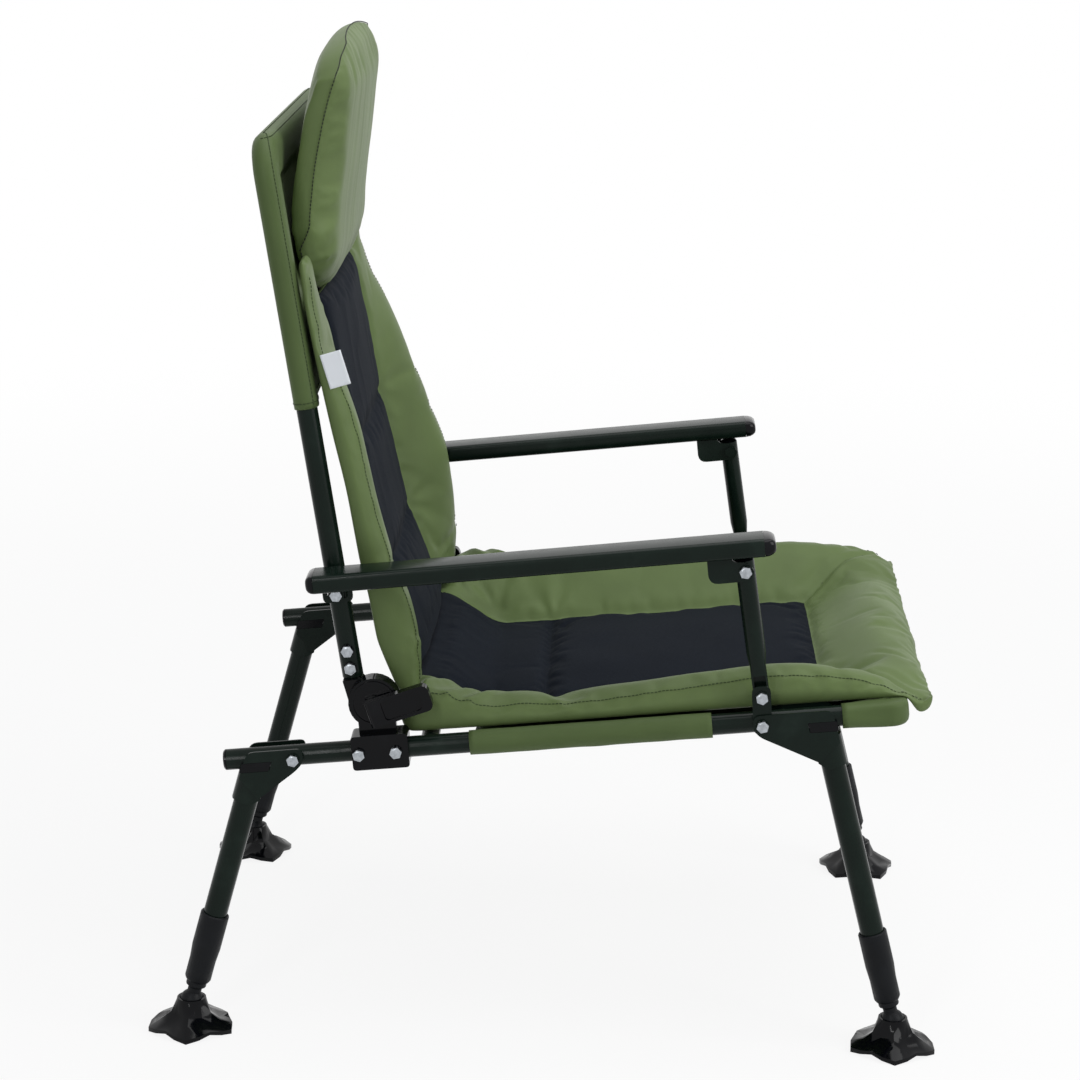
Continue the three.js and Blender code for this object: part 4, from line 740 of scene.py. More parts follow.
seatFolds = {
    "rays": dict(depth=5.0, turn=0.4, spread=22),
    "rayRise": 10,
    "rayLower": [(8, 196), (14, 152)],
    "gathers": dict(depth=5.5, spacing=27, length=90, seed=3),
    "gathersSlant": (0.7, -0.3),
    "gathersTo": (255, 80),
    "borderSwell": dict(depth=1.1, spacing=46, length=70, seed=5),
    "panelSwell": dict(depth=0.8, spacing=60, length=52, seed=8),
    "frontCreases": dict(depth=1.1, spacing=44, slant=90, length=120, seed=9),
    "frontFrom": (590, 50),
    "panelCreases": dict(depth=0.5, spacing=34, length=80, seed=10),
    "panelSlant": 0.6,
    "panelTo": (235, 60),
    "ruffle": dict(depth=0.5, spacing=2.9, phase=2, phaseSpacing=40, seed=61),
    "ruffleSwell": dict(depth=1.2, spacing=24, length=1, seed=62),
    "ruffleWidth": 9,
}
# The mattress's underside lies over the rear tube, sags to the sling and rises over the front bar
seatUnder = {
    "low": -23.4,
    "rearTube": 11.5,
    "rearTubeEnd": (151, 27),
    "frontBar": 14.4,
    "frontRise": (520, 624.7),
    "edge": 11.8,
    "edgeFrom": (90, 156),
    "slingGap": 1.8,
    "overhang": -7.0,
    "overhangFrom": (636, 11),
}


def past(place, start):
    # From 0 at the first of two values, over a length that is the second, to 1.
    return eased((place - start[0]) / start[1])


def cornerSeam(across, reach):
    # Distance from the mitre that runs out of the panel's front corners.
    runAcross = seatPad["mitreEnd"][0] - seatPad["seam"]
    runAlong = seatPad["mitreEnd"][1] - seatPad["frontSeam"]
    aside, ahead = np.abs(across) - seatPad["seam"], reach - seatPad["frontSeam"]
    run = math.hypot(runAcross, runAlong)
    along = np.clip((aside * runAcross + ahead * runAlong) / run, 0, run)
    return np.hypot(aside - along * runAcross / run, ahead - along * runAlong / run)


def seatFront(across, reach):
    out = np.abs(across)
    seam, channel, frontSeam = seatPad["seam"], seatPad["channel"], seatPad["frontSeam"]
    border = borderShare(seatPad, out)
    panel = seatPad["panel"] + profileAt(seatRise, reach)
    panel = panel + crowned(seatPad, out) * past(reach, seatPad["crownFrom"])
    high = onSide(across, profileAt(seatRidgeRight, reach), profileAt(seatRidgeLeft, reach))
    level = panel + (high - panel) * border
    width = seatPad["seamWidth"]
    beyond = seatPad["seamDepth"]
    sewing = valley(out - seam, width) * (reach < frontSeam + beyond)
    sewing = np.maximum(sewing, valley(reach - frontSeam, width) * (out < seam + beyond))
    sewing = np.maximum(sewing, valley(reach - channel, width) * (out < seam))
    mitre = valley(cornerSeam(across, reach), seatPad["mitreWidth"])
    sewing = np.maximum(sewing, seatPad["mitreDepth"] * mitre) * past(reach, seatPad["sewnFrom"])
    spots = [(seam, channel)] + [(seam + aside, spot) for aside, spot in seatFolds["rayLower"]]
    folds = rayFolds(seatFolds["rays"], across, reach, spots) * past(out, (seam, seatFolds["rayRise"]))
    gathersEnd, gathersFade = seatFolds["gathersTo"]
    aslant, beside = seatFolds["gathersSlant"]
    gathers = creases(seatFolds["gathers"], reach + aslant * out, out + beside * reach)
    gathers = gathers * eased((gathersEnd - reach) / gathersFade) * border
    ripples = swells(seatFolds["borderSwell"], reach, out) * border
    ripples = ripples + swells(seatFolds["panelSwell"], across, reach) * (1 - border)
    kind = seatFolds["frontCreases"]
    slanted = across / kind["spacing"] + reach / kind["slant"]
    frontFolds = kind["depth"] * crumpled(slanted, reach / kind["length"], kind["seed"])
    frontFolds = frontFolds * past(reach, seatFolds["frontFrom"])
    panelEnd, panelFade = seatFolds["panelTo"]
    slantedAcross = across + seatFolds["panelSlant"] * reach
    panelCreases = creases(seatFolds["panelCreases"], slantedAcross, reach)
    panelCreases = panelCreases * eased((panelEnd - reach) / panelFade) * (1 - border)
    return level - seatPad["seamDepth"] * sewing + folds + gathers + ripples + frontFolds + panelCreases


def seatRear(across, reach):
    low, tube, bar = seatUnder["low"], seatUnder["rearTube"], seatUnder["frontBar"]
    riseFrom, riseTo = seatUnder["frontRise"]
    middle = low + (bar - low) * eased((reach - riseFrom) / (riseTo - riseFrom))
    own = tube + (middle - tube) * past(reach, seatUnder["rearTubeEnd"])
    own = own + (seatUnder["edge"] - own) * past(np.abs(across), seatUnder["edgeFrom"])
    own = np.maximum(own, slingHeight(across, reach) + seatUnder["slingGap"])
    return own + (seatUnder["overhang"] - own) * past(reach, seatUnder["overhangFrom"])


def seatShape():
    half = seatPad["halfWidth"]
    stops = [-half, -seatPad["seam"], seatPad["seam"], half]
    rows = [seatPad["rear"], seatPad["channel"], seatPad["frontSeam"], seatPad["front"]]
    columns, alongs = (stations(places, padGrid["step"], padGrid["edgeSteps"]) for places in (stops, rows))
    along = np.broadcast_to(alongs, (len(columns), len(alongs)))
    rearEnd, frontEnd = along - seatPad["rear"], seatPad["front"] - along
    inside = np.clip(1 - np.minimum(rearEnd, frontEnd) / seatPad["cornerRound"], 0, 1)
    drawn = onSide(columns[:, None], *seatPad["cornerDrawn"]) * inside**2
    across = columns[:, None] / half * (half - drawn)
    sideGap = half - drawn - np.abs(across)
    front, rear = seatFront(across, along), seatRear(across, along)
    hang = eased(1 - frontEnd / seatPad["frontHang"])
    seam = rear + (front - rear) * seatPad["seamShare"]
    seam = seam + (profileAt(seatFrontEdge, across) - seam) * hang
    gaps = (sideGap, rearEnd, frontEnd)
    wave = seatFolds["ruffle"]
    phase = wave["phase"] * cloud(across / wave["phaseSpacing"], across * 0, wave["seed"])
    ruffle = wave["depth"] * np.sin(across / wave["spacing"] + phase)
    ruffle = ruffle + swells(seatFolds["ruffleSwell"], across, across * 0)
    ruffle = ruffle * valley(frontEnd, seatFolds["ruffleWidth"])
    return {
        "across": across,
        "along": along + ruffle,
        "front": seam + (front - seam) * roundedEnds(gaps, seatPad["over"]),
        "rear": seam + (rear - seam) * roundedEnds(gaps, seatPad["under"]),
    }


seamReach = 2  # how near to a seam a point is held by it


def seatSewn(across, reach):
    out = np.abs(across)
    near = np.abs(out - seatPad["seam"]) < seamReach
    near &= reach < seatPad["frontSeam"] + seamReach
    near |= (np.abs(reach - seatPad["frontSeam"]) < seamReach) & (out < seatPad["seam"] + seamReach)
    near |= (np.abs(reach - seatPad["channel"]) < seamReach) & (out < seatPad["seam"])
    return near | (cornerSeam(across, reach) < seatPad["mitreHeld"]) | (reach < seatPad["heldTo"])


def seatPanelAt(across, reach):
    return (np.abs(across) < seatPad["seam"]) & (reach < seatPad["frontSeam"])


padCloths = (cloths["greenCloth"], cloths["charcoalCloth"])
seatCushion, seatGrid = buildPad("seat_cushion", seatShape(), seatPlace, padCloths, seatPanelAt)
puffed(seatCushion, heldPoints(seatCushion, seatGrid, seatSewn), seatPad["fill"])
print("stage: seat cushion")

# Back mattress: the same make, with two sewn channels. Its left-hand wing stands well forward,
# and its right-hand one lies flatter.
backPad = {
    "halfWidth": 253.0,
    "seam": 160.0,
    "ridge": 228.0,
    "borderLead": 8,
    "low": -4.0,
    "high": 410.0,
    "sideHigh": 50.0,
    "sideHighFrom": (186, 22),
    "stretchFrom": 290,
    "channels": (105.0, 245.0),
    "heldTo": 14,
    "seamWidth": 4.5,
    "seamDepth": 6.0,
    "sewnFrom": (-2, 30),
    "crown": 6.0,
    "thickness": 24.0,
    "lowDrawn": (4, 12),
    "highDrawn": (9, 30),
    "droop": 9,
    "droopHeight": 40,
    "droopDepth": 30,
    "droopTo": (150, 60),
    "seamShare": 0.5,
    "over": (11, 7, 12),
    "under": (7, 6, 6),
    "fill": dict(stiffness=12.0, bending=0.25, pressure=2.5, slack=0.015, cap=2.5, frames=20),
}
wingLeft = [(0, 56), (60, 64), (140, 67), (203, 56), (266, 42), (328, 27), (378, 13), (410, 8)]
wingRight = [(0, 49), (48, 52), (92, 49), (137, 39), (202, 31), (278, 26), (326, 18), (366, 7), (410, 5)]
panelForward = [(0, 44), (55, 33), (106, 22), (166, 16), (227, 12), (345, 8), (410, 5)]
rearForward = [(0, 26), (46, 9), (100, 4), (165, 3), (262, -3), (314, -7), (410, -7)]
edgeRearRight = [
    (-4, 25), (15, 21), (45, 14), (62, 11), (105, 10), (149, 7), (213, 6), (288, 1), (371, -3), (410, -4),
]
backFolds = {
    "rays": dict(depth=4.0, turn=0.6, spread=19),
    "rayRise": 12,
    "gathers": dict(depth=2.2, spacing=30, length=110, seed=13),
    "gathersSlant": (-0.4, 0.3),
    "gathersTo": (95, 70),
    "borderSwell": dict(depth=0.6, spacing=70, length=70, seed=17),
    "panelSwell": dict(depth=0.8, spacing=55, length=48, seed=18),
    "panelCreases": dict(depth=0.6, spacing=30, length=60, seed=19),
}


def backFront(across, up):
    out = np.abs(across)
    seam, width = backPad["seam"], backPad["seamWidth"]
    border = borderShare(backPad, out)
    panel = profileAt(panelForward, up) + crowned(backPad, out)
    high = onSide(across, profileAt(wingRight, up), profileAt(wingLeft, up))
    level = panel + (high - panel) * border
    sewing = valley(out - seam, width)
    for channel in backPad["channels"]:
        sewing = np.maximum(sewing, valley(up - channel, width) * (out < seam))
    sewing = sewing * past(up, backPad["sewnFrom"])
    spots = [(seam, channel) for channel in backPad["channels"]]
    folds = rayFolds(backFolds["rays"], across, up, spots) * past(out, (seam, backFolds["rayRise"]))
    gathersEnd, gathersFade = backFolds["gathersTo"]
    aslant, beside = backFolds["gathersSlant"]
    gathers = creases(backFolds["gathers"], up + aslant * out, out + beside * up)
    gathers = gathers * border * eased((gathersEnd - up) / gathersFade)
    ripples = swells(backFolds["borderSwell"], up, out) * border
    ripples = ripples + swells(backFolds["panelSwell"], across, up) * (1 - border)
    panelCreases = creases(backFolds["panelCreases"], across, up) * (1 - border)
    return level - backPad["seamDepth"] * sewing + folds + gathers + ripples + panelCreases


def backRear(across, up):
    panel, rear = profileAt(panelForward, up), profileAt(rearForward, up)
    thin = np.maximum(panel - backPad["thickness"], rear)
    edge = onSide(across, np.maximum(profileAt(edgeRearRight, up), rear), rear)
    share = (np.abs(across) - backPad["seam"]) / (backPad["halfWidth"] - backPad["seam"])
    return thin + (edge - thin) * eased(share)


def backShape():
    half, high = backPad["halfWidth"], backPad["high"]
    stops = [-half, -backPad["seam"], backPad["seam"], half]
    rows = [backPad["low"], *backPad["channels"], high]
    columns, alongs = (stations(places, padGrid["step"], padGrid["edgeSteps"]) for places in (stops, rows))
    outer = past(np.abs(columns), backPad["sideHighFrom"])[:, None]
    stretch = (alongs - backPad["stretchFrom"]) / (high - backPad["stretchFrom"])
    along = alongs + backPad["sideHigh"] * outer * eased(stretch)
    lowEnd, highEnd = alongs - backPad["low"], high - alongs
    drawn = 0
    for gap, (depth, reach) in ((lowEnd, backPad["lowDrawn"]), (highEnd, backPad["highDrawn"])):
        drawn = drawn + depth * np.clip(1 - gap / reach, 0, 1) ** 2
    across = columns[:, None] / half * (half - drawn)
    sideGap = half - drawn - np.abs(across)
    front, rear = backFront(across, along), backRear(across, along)
    seam = rear + (front - rear) * backPad["seamShare"]
    gaps = (sideGap, lowEnd, highEnd)
    return {
        "across": across,
        "along": along,
        "front": seam + (front - seam) * roundedEnds(gaps, backPad["over"]),
        "rear": seam + (rear - seam) * roundedEnds(gaps, backPad["under"]),
    }


def backDrooped(across, up, forward):
    # The lower end turns up towards its back, off the seat.
    lowEnd = 1 - eased((up - backPad["low"]) / backPad["droopHeight"])
    ahead = eased((forward - profileAt(rearForward, up)) / backPad["droopDepth"])
    middle = 1 - past(np.abs(across), backPad["droopTo"])
    return backPlace(across, up + backPad["droop"] * lowEnd * middle * (1 - ahead), forward)


def backSewn(across, up):
    out = np.abs(across)
    near = np.abs(out - backPad["seam"]) < seamReach
    for channel in backPad["channels"]:
        near |= (np.abs(up - channel) < seamReach) & (out < backPad["seam"])
    return near | (up < backPad["heldTo"])


def backPanelAt(across, up):
    return np.abs(across) < backPad["seam"]


backCushion, backGrid = buildPad("back_cushion", backShape(), backDrooped, padCloths, backPanelAt)
puffed(backCushion, heldPoints(backCushion, backGrid, backSewn), backPad["fill"])
print("stage: back cushion")

# Headrest pillow: a flat band round its rear half, a sewn seam, and a deep front with long creases
pillow = {
    "halfWidth": 186.0,
    "low": 402.0,
    "middle": 540,
    "high": 668.0,
    "step": 5.0,
    "edgeSteps": (0.4, 1.4, 3.0, 5.4, 8.6, 13.0, 18.0),
    "cornerLow": 62.0,
    "cornerPower": 2.4,
    "cornerHigh": 38.0,
    "band": 21.0,
    "bandRise": 40,
    "bandLowest": 0.35,
    "bandShare": 0.8,
    "side": 38.0,
    "flatness": 0.72,
    "over": (30, 22),
    "under": (4, 6, 5),
    "fill": dict(stiffness=10.0, bending=0.2, pressure=3.0, slack=0.015, cap=2.5, frames=20),
}
pillowFront = [
    (402, 4), (417, 13), (455, 30), (482, 37), (534, 52), (586, 66), (627, 75), (652, 75), (668, 65),
]
pillowRear = [(402, -8), (420, -14), (513, -14.4), (545, 0), (600, 12), (640, 26), (668, 50)]
pillowRearSide = [
    (402, -8), (466, -13), (480, -14.4), (525, -5), (574, 11), (617, 29), (645, 45), (668, 60),
]
pillowFolds = {
    "puckers": dict(depth=2.2, spacing=17, length=60, seed=71),
    "puckersAt": (12, 13),
    "puckersRise": 5,
    "creases": dict(depth=0.55, spacing=8, length=170, seed=23),
    "creasesRise": 40,
    "swell": dict(depth=0.5, spacing=30, length=90, seed=24),
    "band": dict(depth=1.8, spacing=22, length=50, seed=28),
    "bandAt": (4, 12),
}


def pillowShape():
    half, lowest, highest = pillow["halfWidth"], pillow["low"], pillow["high"]
    columns = stations([-half, 0, half], pillow["step"], pillow["edgeSteps"])
    rows = stations([lowest, pillow["middle"], highest], pillow["step"], pillow["edgeSteps"])
    shares = (rows - lowest) / (highest - lowest)
    across = np.broadcast_to(columns[:, None], (len(columns), len(shares))).copy()
    out = np.abs(across) / half
    low = lowest + pillow["cornerLow"] * (1 - np.sqrt(np.clip(1 - out ** pillow["cornerPower"], 0, 1)))
    high = highest - pillow["cornerHigh"] * (0.5 * out**2 + 0.5 * out**6)
    along = low + (high - low) * shares[None, :]
    sideGap = half - np.abs(across)
    lowEnd, highEnd = along - low, high - along
    rear = profileAt(pillowRear, along)
    rear = rear + (profileAt(pillowRearSide, along) - rear) * out**2
    face = profileAt(pillowFront, along)
    band = pillow["band"] * eased(lowEnd / pillow["bandRise"] + pillow["bandLowest"])
    seam = rear + np.minimum(band, pillow["bandShare"] * (face - rear))
    at, width = pillowFolds["puckersAt"]
    puckers = creases(pillowFolds["puckers"], along, across) * valley(sideGap - at, width)
    puckers = puckers * eased(sideGap / pillowFolds["puckersRise"])
    flat = pillow["flatness"]
    over = flat * roundedIn(sideGap, pillow["side"]) + (1 - flat) * (1 - out**2)
    for gap, radius in zip((lowEnd, highEnd), pillow["over"]):
        over = over * roundedIn(gap, radius)
    folds = creases(pillowFolds["creases"], across, along) + swells(pillowFolds["swell"], across, along)
    folds = folds * eased(sideGap / pillowFolds["creasesRise"])
    front = seam + (face + folds - seam) * over + puckers
    kind = pillowFolds["band"]
    folded = crumpled(along / kind["spacing"], across / kind["length"], kind["seed"])
    at, width = pillowFolds["bandAt"]
    bandFolds = kind["depth"] * (folded + 1) * valley(sideGap - at, width)
    under = roundedEnds((sideGap, lowEnd, highEnd), pillow["under"])
    rear = seam + (rear + bandFolds - seam) * under
    return {"across": across, "along": along, "front": front, "rear": rear}


def nowhere(across, up):
    return np.zeros(across.shape, bool)


headPillow, pillowGrid = buildPad("headrest_cushion", pillowShape(), backPlace, padCloths[:1], nowhere)
puffed(headPillow, heldPoints(headPillow, pillowGrid, nowhere), pillow["fill"])
print("stage: pillow")

# Rows of stitches, read off the filled pads before they are subdivided
stitching = {
    "panelLift": 0.2,
    "edgeLift": 0.3,
    "pillowLift": 0.5,
    "pillowThread": 0.55 * mm,
    "past": 1,
    "seatRearGap": 14,
    "seatEdge": 6.5,
    "seatEdgeFrom": 140,
    "seatEdgeTo": 652,
    "mitreTo": (250, 650),
    "mitrePoints": 30,
    "backFrom": 16,
    "backHighGap": 6,
    "backEdge": 9.5,
    "backEdgeFrom": 12,
    "backEdgeTo": 396,
}


def raised(obj, wanted, lift):
    # Points of an object's surface, raised a little.
    normals = np.array([vertex.normal for vertex in obj.data.vertices])
    return coordinates(obj)[wanted] + normals[wanted] * lift * mm


def middleLines(grid):
    # Where the grid's columns and rows lie, along its own middle.
    rows, columns = grid["across"].shape
    return grid["across"][:, columns // 2], grid["along"][rows // 2]


def overPad(obj, grid, across, along, lift):
    # Points of the pad's front along any line of its own plane
    places = coordinates(obj)[grid["front"]]
    middleAcross, middleAlong = middleLines(grid)
    column = np.interp(across, middleAcross, np.arange(len(middleAcross)))
    row = np.interp(along, middleAlong, np.arange(len(middleAlong)))
    i, j = np.floor(column).astype(int), np.floor(row).astype(int)
    s, t = (column - i)[:, None], (row - j)[:, None]
    low = places[i, j] * (1 - s) + places[i + 1, j] * s
    high = places[i, j + 1] * (1 - s) + places[i + 1, j + 1] * s
    return low * (1 - t) + high * t + np.array((0, 0, lift)) * mm


def between(values, low, high):
    return np.nonzero((values >= low) & (values <= high))[0]


def columnAt(grid, across, low, high):
    middleAcross, middleAlong = middleLines(grid)
    nearest = int(np.argmin(np.abs(middleAcross - across)))
    return grid["front"][nearest, between(middleAlong, low, high)]


def rowAt(grid, along, low, high):
    nearest = int(np.argmin(np.abs(grid["along"][0] - along)))
    return grid["front"][between(middleLines(grid)[0], low, high), nearest]


def panelLines(obj, grid, pad, rows, low, high):
    # Across the panel at each of the rows, then up both its sides
    end = pad["seam"] + stitching["past"]
    wanted = [rowAt(grid, along, -end, end) for along in rows]
    wanted += [columnAt(grid, side * pad["seam"], low, high) for side in sides]
    return [raised(obj, points, stitching["panelLift"]) for points in wanted]


def edgeLine(obj, grid, across, low, high):
    return raised(obj, columnAt(grid, across, low, high), stitching["edgeLift"])


def mitreLine(side):
    share = np.linspace(0, 1, stitching["mitrePoints"])
    start, end = (seatPad["seam"], seatPad["frontSeam"]), stitching["mitreTo"]
    across, along = (low + (high - low) * share for low, high in zip(start, end))
    return overPad(seatCushion, seatGrid, side * across, along, stitching["edgeLift"])


seatRows = (seatPad["channel"], seatPad["frontSeam"])
seatFrom, seatTo = seatPad["rear"] + stitching["seatRearGap"], seatPad["frontSeam"] + stitching["past"]
backTo = backPad["high"] - stitching["backHighGap"]
seatLines = panelLines(seatCushion, seatGrid, seatPad, seatRows, seatFrom, seatTo)
backLines = panelLines(backCushion, backGrid, backPad, backPad["channels"], stitching["backFrom"], backTo)
seatEdgeLines, backEdgeLines = [], []
for side in sides:
    across = side * (seatPad["halfWidth"] - stitching["seatEdge"])
    ends = stitching["seatEdgeFrom"], stitching["seatEdgeTo"]
    seatEdgeLines += [edgeLine(seatCushion, seatGrid, across, *ends), mitreLine(side)]
    across = side * (backPad["halfWidth"] - stitching["backEdge"])
    ends = stitching["backEdgeFrom"], stitching["backEdgeTo"]
    backEdgeLines.append(edgeLine(backCushion, backGrid, across, *ends))
rim = pillowGrid["front"]
pillowRing = np.concatenate([rim[0, :], rim[1:, -1], rim[-1, -2::-1], rim[-2:0:-1, 0]])
pillowLine = raised(headPillow, pillowRing, stitching["pillowLift"])
for pad in (seatCushion, backCushion, headPillow):
    finer(pad)
threadBlack, threadGreen = plastics["threadBlack"], plastics["threadGreen"]
seatStitches = sewn("seat_panel_stitches", seatLines, threadBlack)
seatEdging = sewn("seat_edge_stitches", seatEdgeLines, threadGreen)
backStitches = sewn("back_panel_stitches", backLines, threadBlack)
backEdging = sewn("back_edge_stitches", backEdgeLines, threadGreen)
pillowStitches = sewn("headrest_stitches", [pillowLine], threadBlack, Thread=stitching["pillowThread"])
print("stage: stitches")

# Hood: a bag of cloth drawn down over the top of the back frame
hood = {
    "low": 312.0,
    "post": 244.0,
    "tubeBack": 20.0,
    "tubeRound": 12.6,
    "corner": 30.0,
    "top": 577.0,
    "middle": 5.0,
    "blend": 60.0,
    "edgeSteps": (0, 0.4, 1.6, 3.6, 6.4, 10, 14.5, 20, 28),
    "evenFrom": 36,
    "evenColumns": 65,
    "evenRows": 42,
    "slackFrom": (14, 30),
    "frontSwell": dict(depth=1.2, spacing=70, length=45, seed=31),
    "frontRest": 0.6,
    "rearSwell": dict(depth=2.2, spacing=80, length=60, seed=33),
    "rearCreases": dict(depth=0.6, spacing=14, length=90, seed=34),
    "stitchLift": 0.25,
    "hemLift": 0.3,
    "cloth": 0.9,
}


def hoodCorner():
    return hood["post"] - hood["corner"], hood["top"] - hood["corner"], hood["corner"] + hood["tubeRound"]


def hoodGap(across, up):
    # Distance in from the bag's outline.
    cornerAcross, cornerUp, radius = hoodCorner()
    out = np.abs(across)
    inCorner = radius - np.hypot(np.maximum(out - cornerAcross, 0), np.maximum(up - cornerUp, 0))
    return np.where((out > cornerAcross) | (up > cornerUp), inCorner, radius + cornerAcross - out)


def hoodDepth(gap):
    tube = hood["tubeRound"]
    roundEdge = np.sqrt(np.clip(tube**2 - (tube - np.minimum(gap, tube)) ** 2, 0, None))
    inner = tube + (hood["middle"] - tube) * eased((gap - tube) / hood["blend"])
    return np.where(gap < tube, roundEdge, inner)


def hoodHalf(up):
    cornerAcross, cornerUp, radius = hoodCorner()
    return cornerAcross + np.sqrt(np.clip(radius**2 - np.maximum(up - cornerUp, 0) ** 2, 0, None))


def buildHood():
    tight, inset = np.array(hood["edgeSteps"]), hood["evenFrom"]
    outer, topUp = hood["post"] + hood["tubeRound"], hood["top"] + hood["tubeRound"]
    middle = np.linspace(-outer + inset, outer - inset, hood["evenColumns"])
    columns = np.concatenate([-outer + tight, middle, outer - tight[::-1]])
    rows = np.concatenate([np.linspace(hood["low"], topUp - inset, hood["evenRows"]), topUp - tight[::-1]])
    up = np.broadcast_to(rows, (len(columns), len(rows)))
    across = columns[:, None] / outer * hoodHalf(up)
    gap = np.maximum(hoodGap(across, up), 0)
    depth, slack = hoodDepth(gap), past(gap, hood["slackFrom"])
    front = -hood["tubeBack"] + depth + slack * (swells(hood["frontSwell"], across, up) - hood["frontRest"])
    rearSwell = slack * (swells(hood["rearSwell"], across, up) + swells(hood["rearCreases"], across, up))
    rear = -hood["tubeBack"] - depth - rearSwell
    edge = np.zeros(up.shape, bool)
    edge[[0, -1], :] = edge[:, -1:] = True
    sidesOfIt = backPlace(across, up, front), backPlace(across, up, rear)
    places, faces, frontIndex, rearIndex = twoSided(*sidesOfIt, edge, alongFirst[::-1])
    obj = addMesh("back_hood_cloth", places, faces, (cloths["sewnGreen"],))
    if obj.data.polygons[(len(columns) // 2) * (len(rows) - 1) + len(rows) // 2].normal.y > 0:
        obj.data.flip_normals()
    seams = [frontIndex[3, :], frontIndex[-4, :], frontIndex[:, -1], frontIndex[:, -4]]
    hems = [frontIndex[:, 1], rearIndex[:, 1]]
    lines = [raised(obj, points, hood["stitchLift"]) for points in seams]
    lines += [raised(obj, points, hood["hemLift"]) for points in hems]
    return *thickened(obj, hood["cloth"]), sewn("hood_stitches", lines, threadGreen)


backHood, hoodArea, hoodStitches = buildHood()
print("stage: hood, area", round(hoodArea, 4))

# The sling's sleeves, and the sheet between them


def railPath(fromReach):
    # The sewn sleeve's line round the front. Its corners are squarer than the tube's bends.
    rail, bend, far = slingCloth["railAcross"], slingCloth["bend"], slingCloth["frontReach"]
    bendSteps, sideSteps, frontSteps = 12, 8, 29
    points = [(-rail, reach) for reach in np.linspace(fromReach, far - bend, sideSteps + 1)[:-1]]
    for k in range(bendSteps + 1):
        angle = math.radians(180 - 90 * k / bendSteps)
        points.append((-rail + bend + bend * math.cos(angle), far - bend + bend * math.sin(angle)))
    points += [(across, far) for across in np.linspace(-rail + bend, 0, frontSteps + 1)[1:]]
    return np.array(points + [(-across, reach) for across, reach in points[:-1][::-1]])


def sleeveAlong(path, seed, corners=False):
    # A loose tube of cloth round a rail. At a squared corner it reaches in round the tube's bend.
    count = 36
    angle = 2 * np.pi * np.arange(count) / count
    ahead = np.gradient(path, axis=0)
    ahead /= np.linalg.norm(ahead, axis=1, keepdims=True)
    run = np.concatenate([[0], np.cumsum(np.linalg.norm(np.diff(path, axis=0), axis=1))])
    hang = slingCloth["hang"] * valley(np.sin(angle) + 1, slingCloth["hangWidth"])
    rings = []
    for (across, reach), (aheadAcross, aheadAlong), distance in zip(path, ahead, run):
        swell = cloud(distance / slingCloth["looseSpacing"] + 0 * angle, 3 * np.sin(angle) + seed, seed)
        radius = slingCloth["sleeve"] + slingCloth["loose"] * swell
        pocket = 0.0
        if corners:
            off = math.hypot(abs(across) - slingCloth["railAcross"], reach - slingCloth["frontReach"])
            pocket = slingCloth["pocket"] * math.exp(-((off / slingCloth["pocketWidth"]) ** 2))
            power = 2 + 4 * math.exp(-((off / slingCloth["squareWidth"]) ** 2))
            square = np.abs(np.cos(angle)) ** power + np.abs(np.sin(angle)) ** power
            radius = radius / square ** (1 / power)
        aside = (radius + pocket * np.clip(np.cos(angle), 0, 1)) * np.cos(angle)
        up = radius * np.sin(angle) - hang
        rings.append(seatPlace(across + aside * aheadAlong, reach - aside * aheadAcross, up))
    index = np.arange(len(path) * count).reshape(-1, count)
    faces = gridFaces(np.hstack([index, index[:, :1]]), alongFirst)
    obj = addMesh("sleeve", np.concatenate(rings), faces, (cloths["sewnGreen"],))
    first = obj.data.polygons[0]
    if first.normal.dot(first.center - Vector(seatPlace(path[0][0], path[0][1], 0.0))) < 0:
        obj.data.flip_normals()
    return thickened(obj, slingCloth["cloth"])


def slingSheet():
    columnCount, rowCount = 61, 50
    half = slingCloth["railAcross"] - slingCloth["sideGap"]
    columns = np.linspace(-half, half, columnCount)
    rows = np.linspace(slingCloth["rearFrom"], slingCloth["frontReach"] - slingCloth["sleeve"], rowCount)
    across, reach = np.meshgrid(columns, rows, indexing="ij")
    nearRail = slingCloth["railAcross"] - np.abs(across) < slingCloth["opening"]
    opening = (reach > slingCloth["rearTo"]) & (reach < slingCloth["frontFrom"]) & nearRail
    height = slingHeight(across, reach) - slingCloth["drop"]
    height = height + swells(slingCloth["swell"], across, reach)
    cells = gridFaces(np.arange(across.size).reshape(across.shape), alongFirst)
    faces = [cell for cell in cells if not opening.ravel()[cell].any()]
    places = seatPlace(across, reach, height).reshape(-1, 3)
    obj = addMesh("sling_sheet", places, faces, (cloths["sewnGreen"],))
    return thickened(obj, slingCloth["cloth"], offset=0)


slingParts = []
for side, seed in zip(sides, (51, 52)):
    reaches = np.linspace(slingCloth["rearFrom"], slingCloth["rearTo"], 52)
    rearRun = np.array([(side * slingCloth["railAcross"], reach) for reach in reaches])
    slingParts.append(sleeveAlong(rearRun, seed))
slingParts += [sleeveAlong(railPath(slingCloth["frontFrom"]), 53, corners=True), slingSheet()]
slingArea = sum(area for part, area in slingParts)
seatSling = joined("seat_sling_cloth", [part for part, area in slingParts])
print("stage: sling, area", round(slingArea, 4))

# Blank white tag, sewn into the right-hand edge of the back mattress
tag = {
    "width": 22.0,
    "height": 36.0,
    "thick": 0.7,
    "low": 329.0,
    "forward": 8.5,
    "tiltDeg": 8.0,
    "across": -254.5,
    "curl": 0.6,
    "wave": 0.3,
    "wavePitch": 9,
    "columns": 12,
    "rows": 18,
}


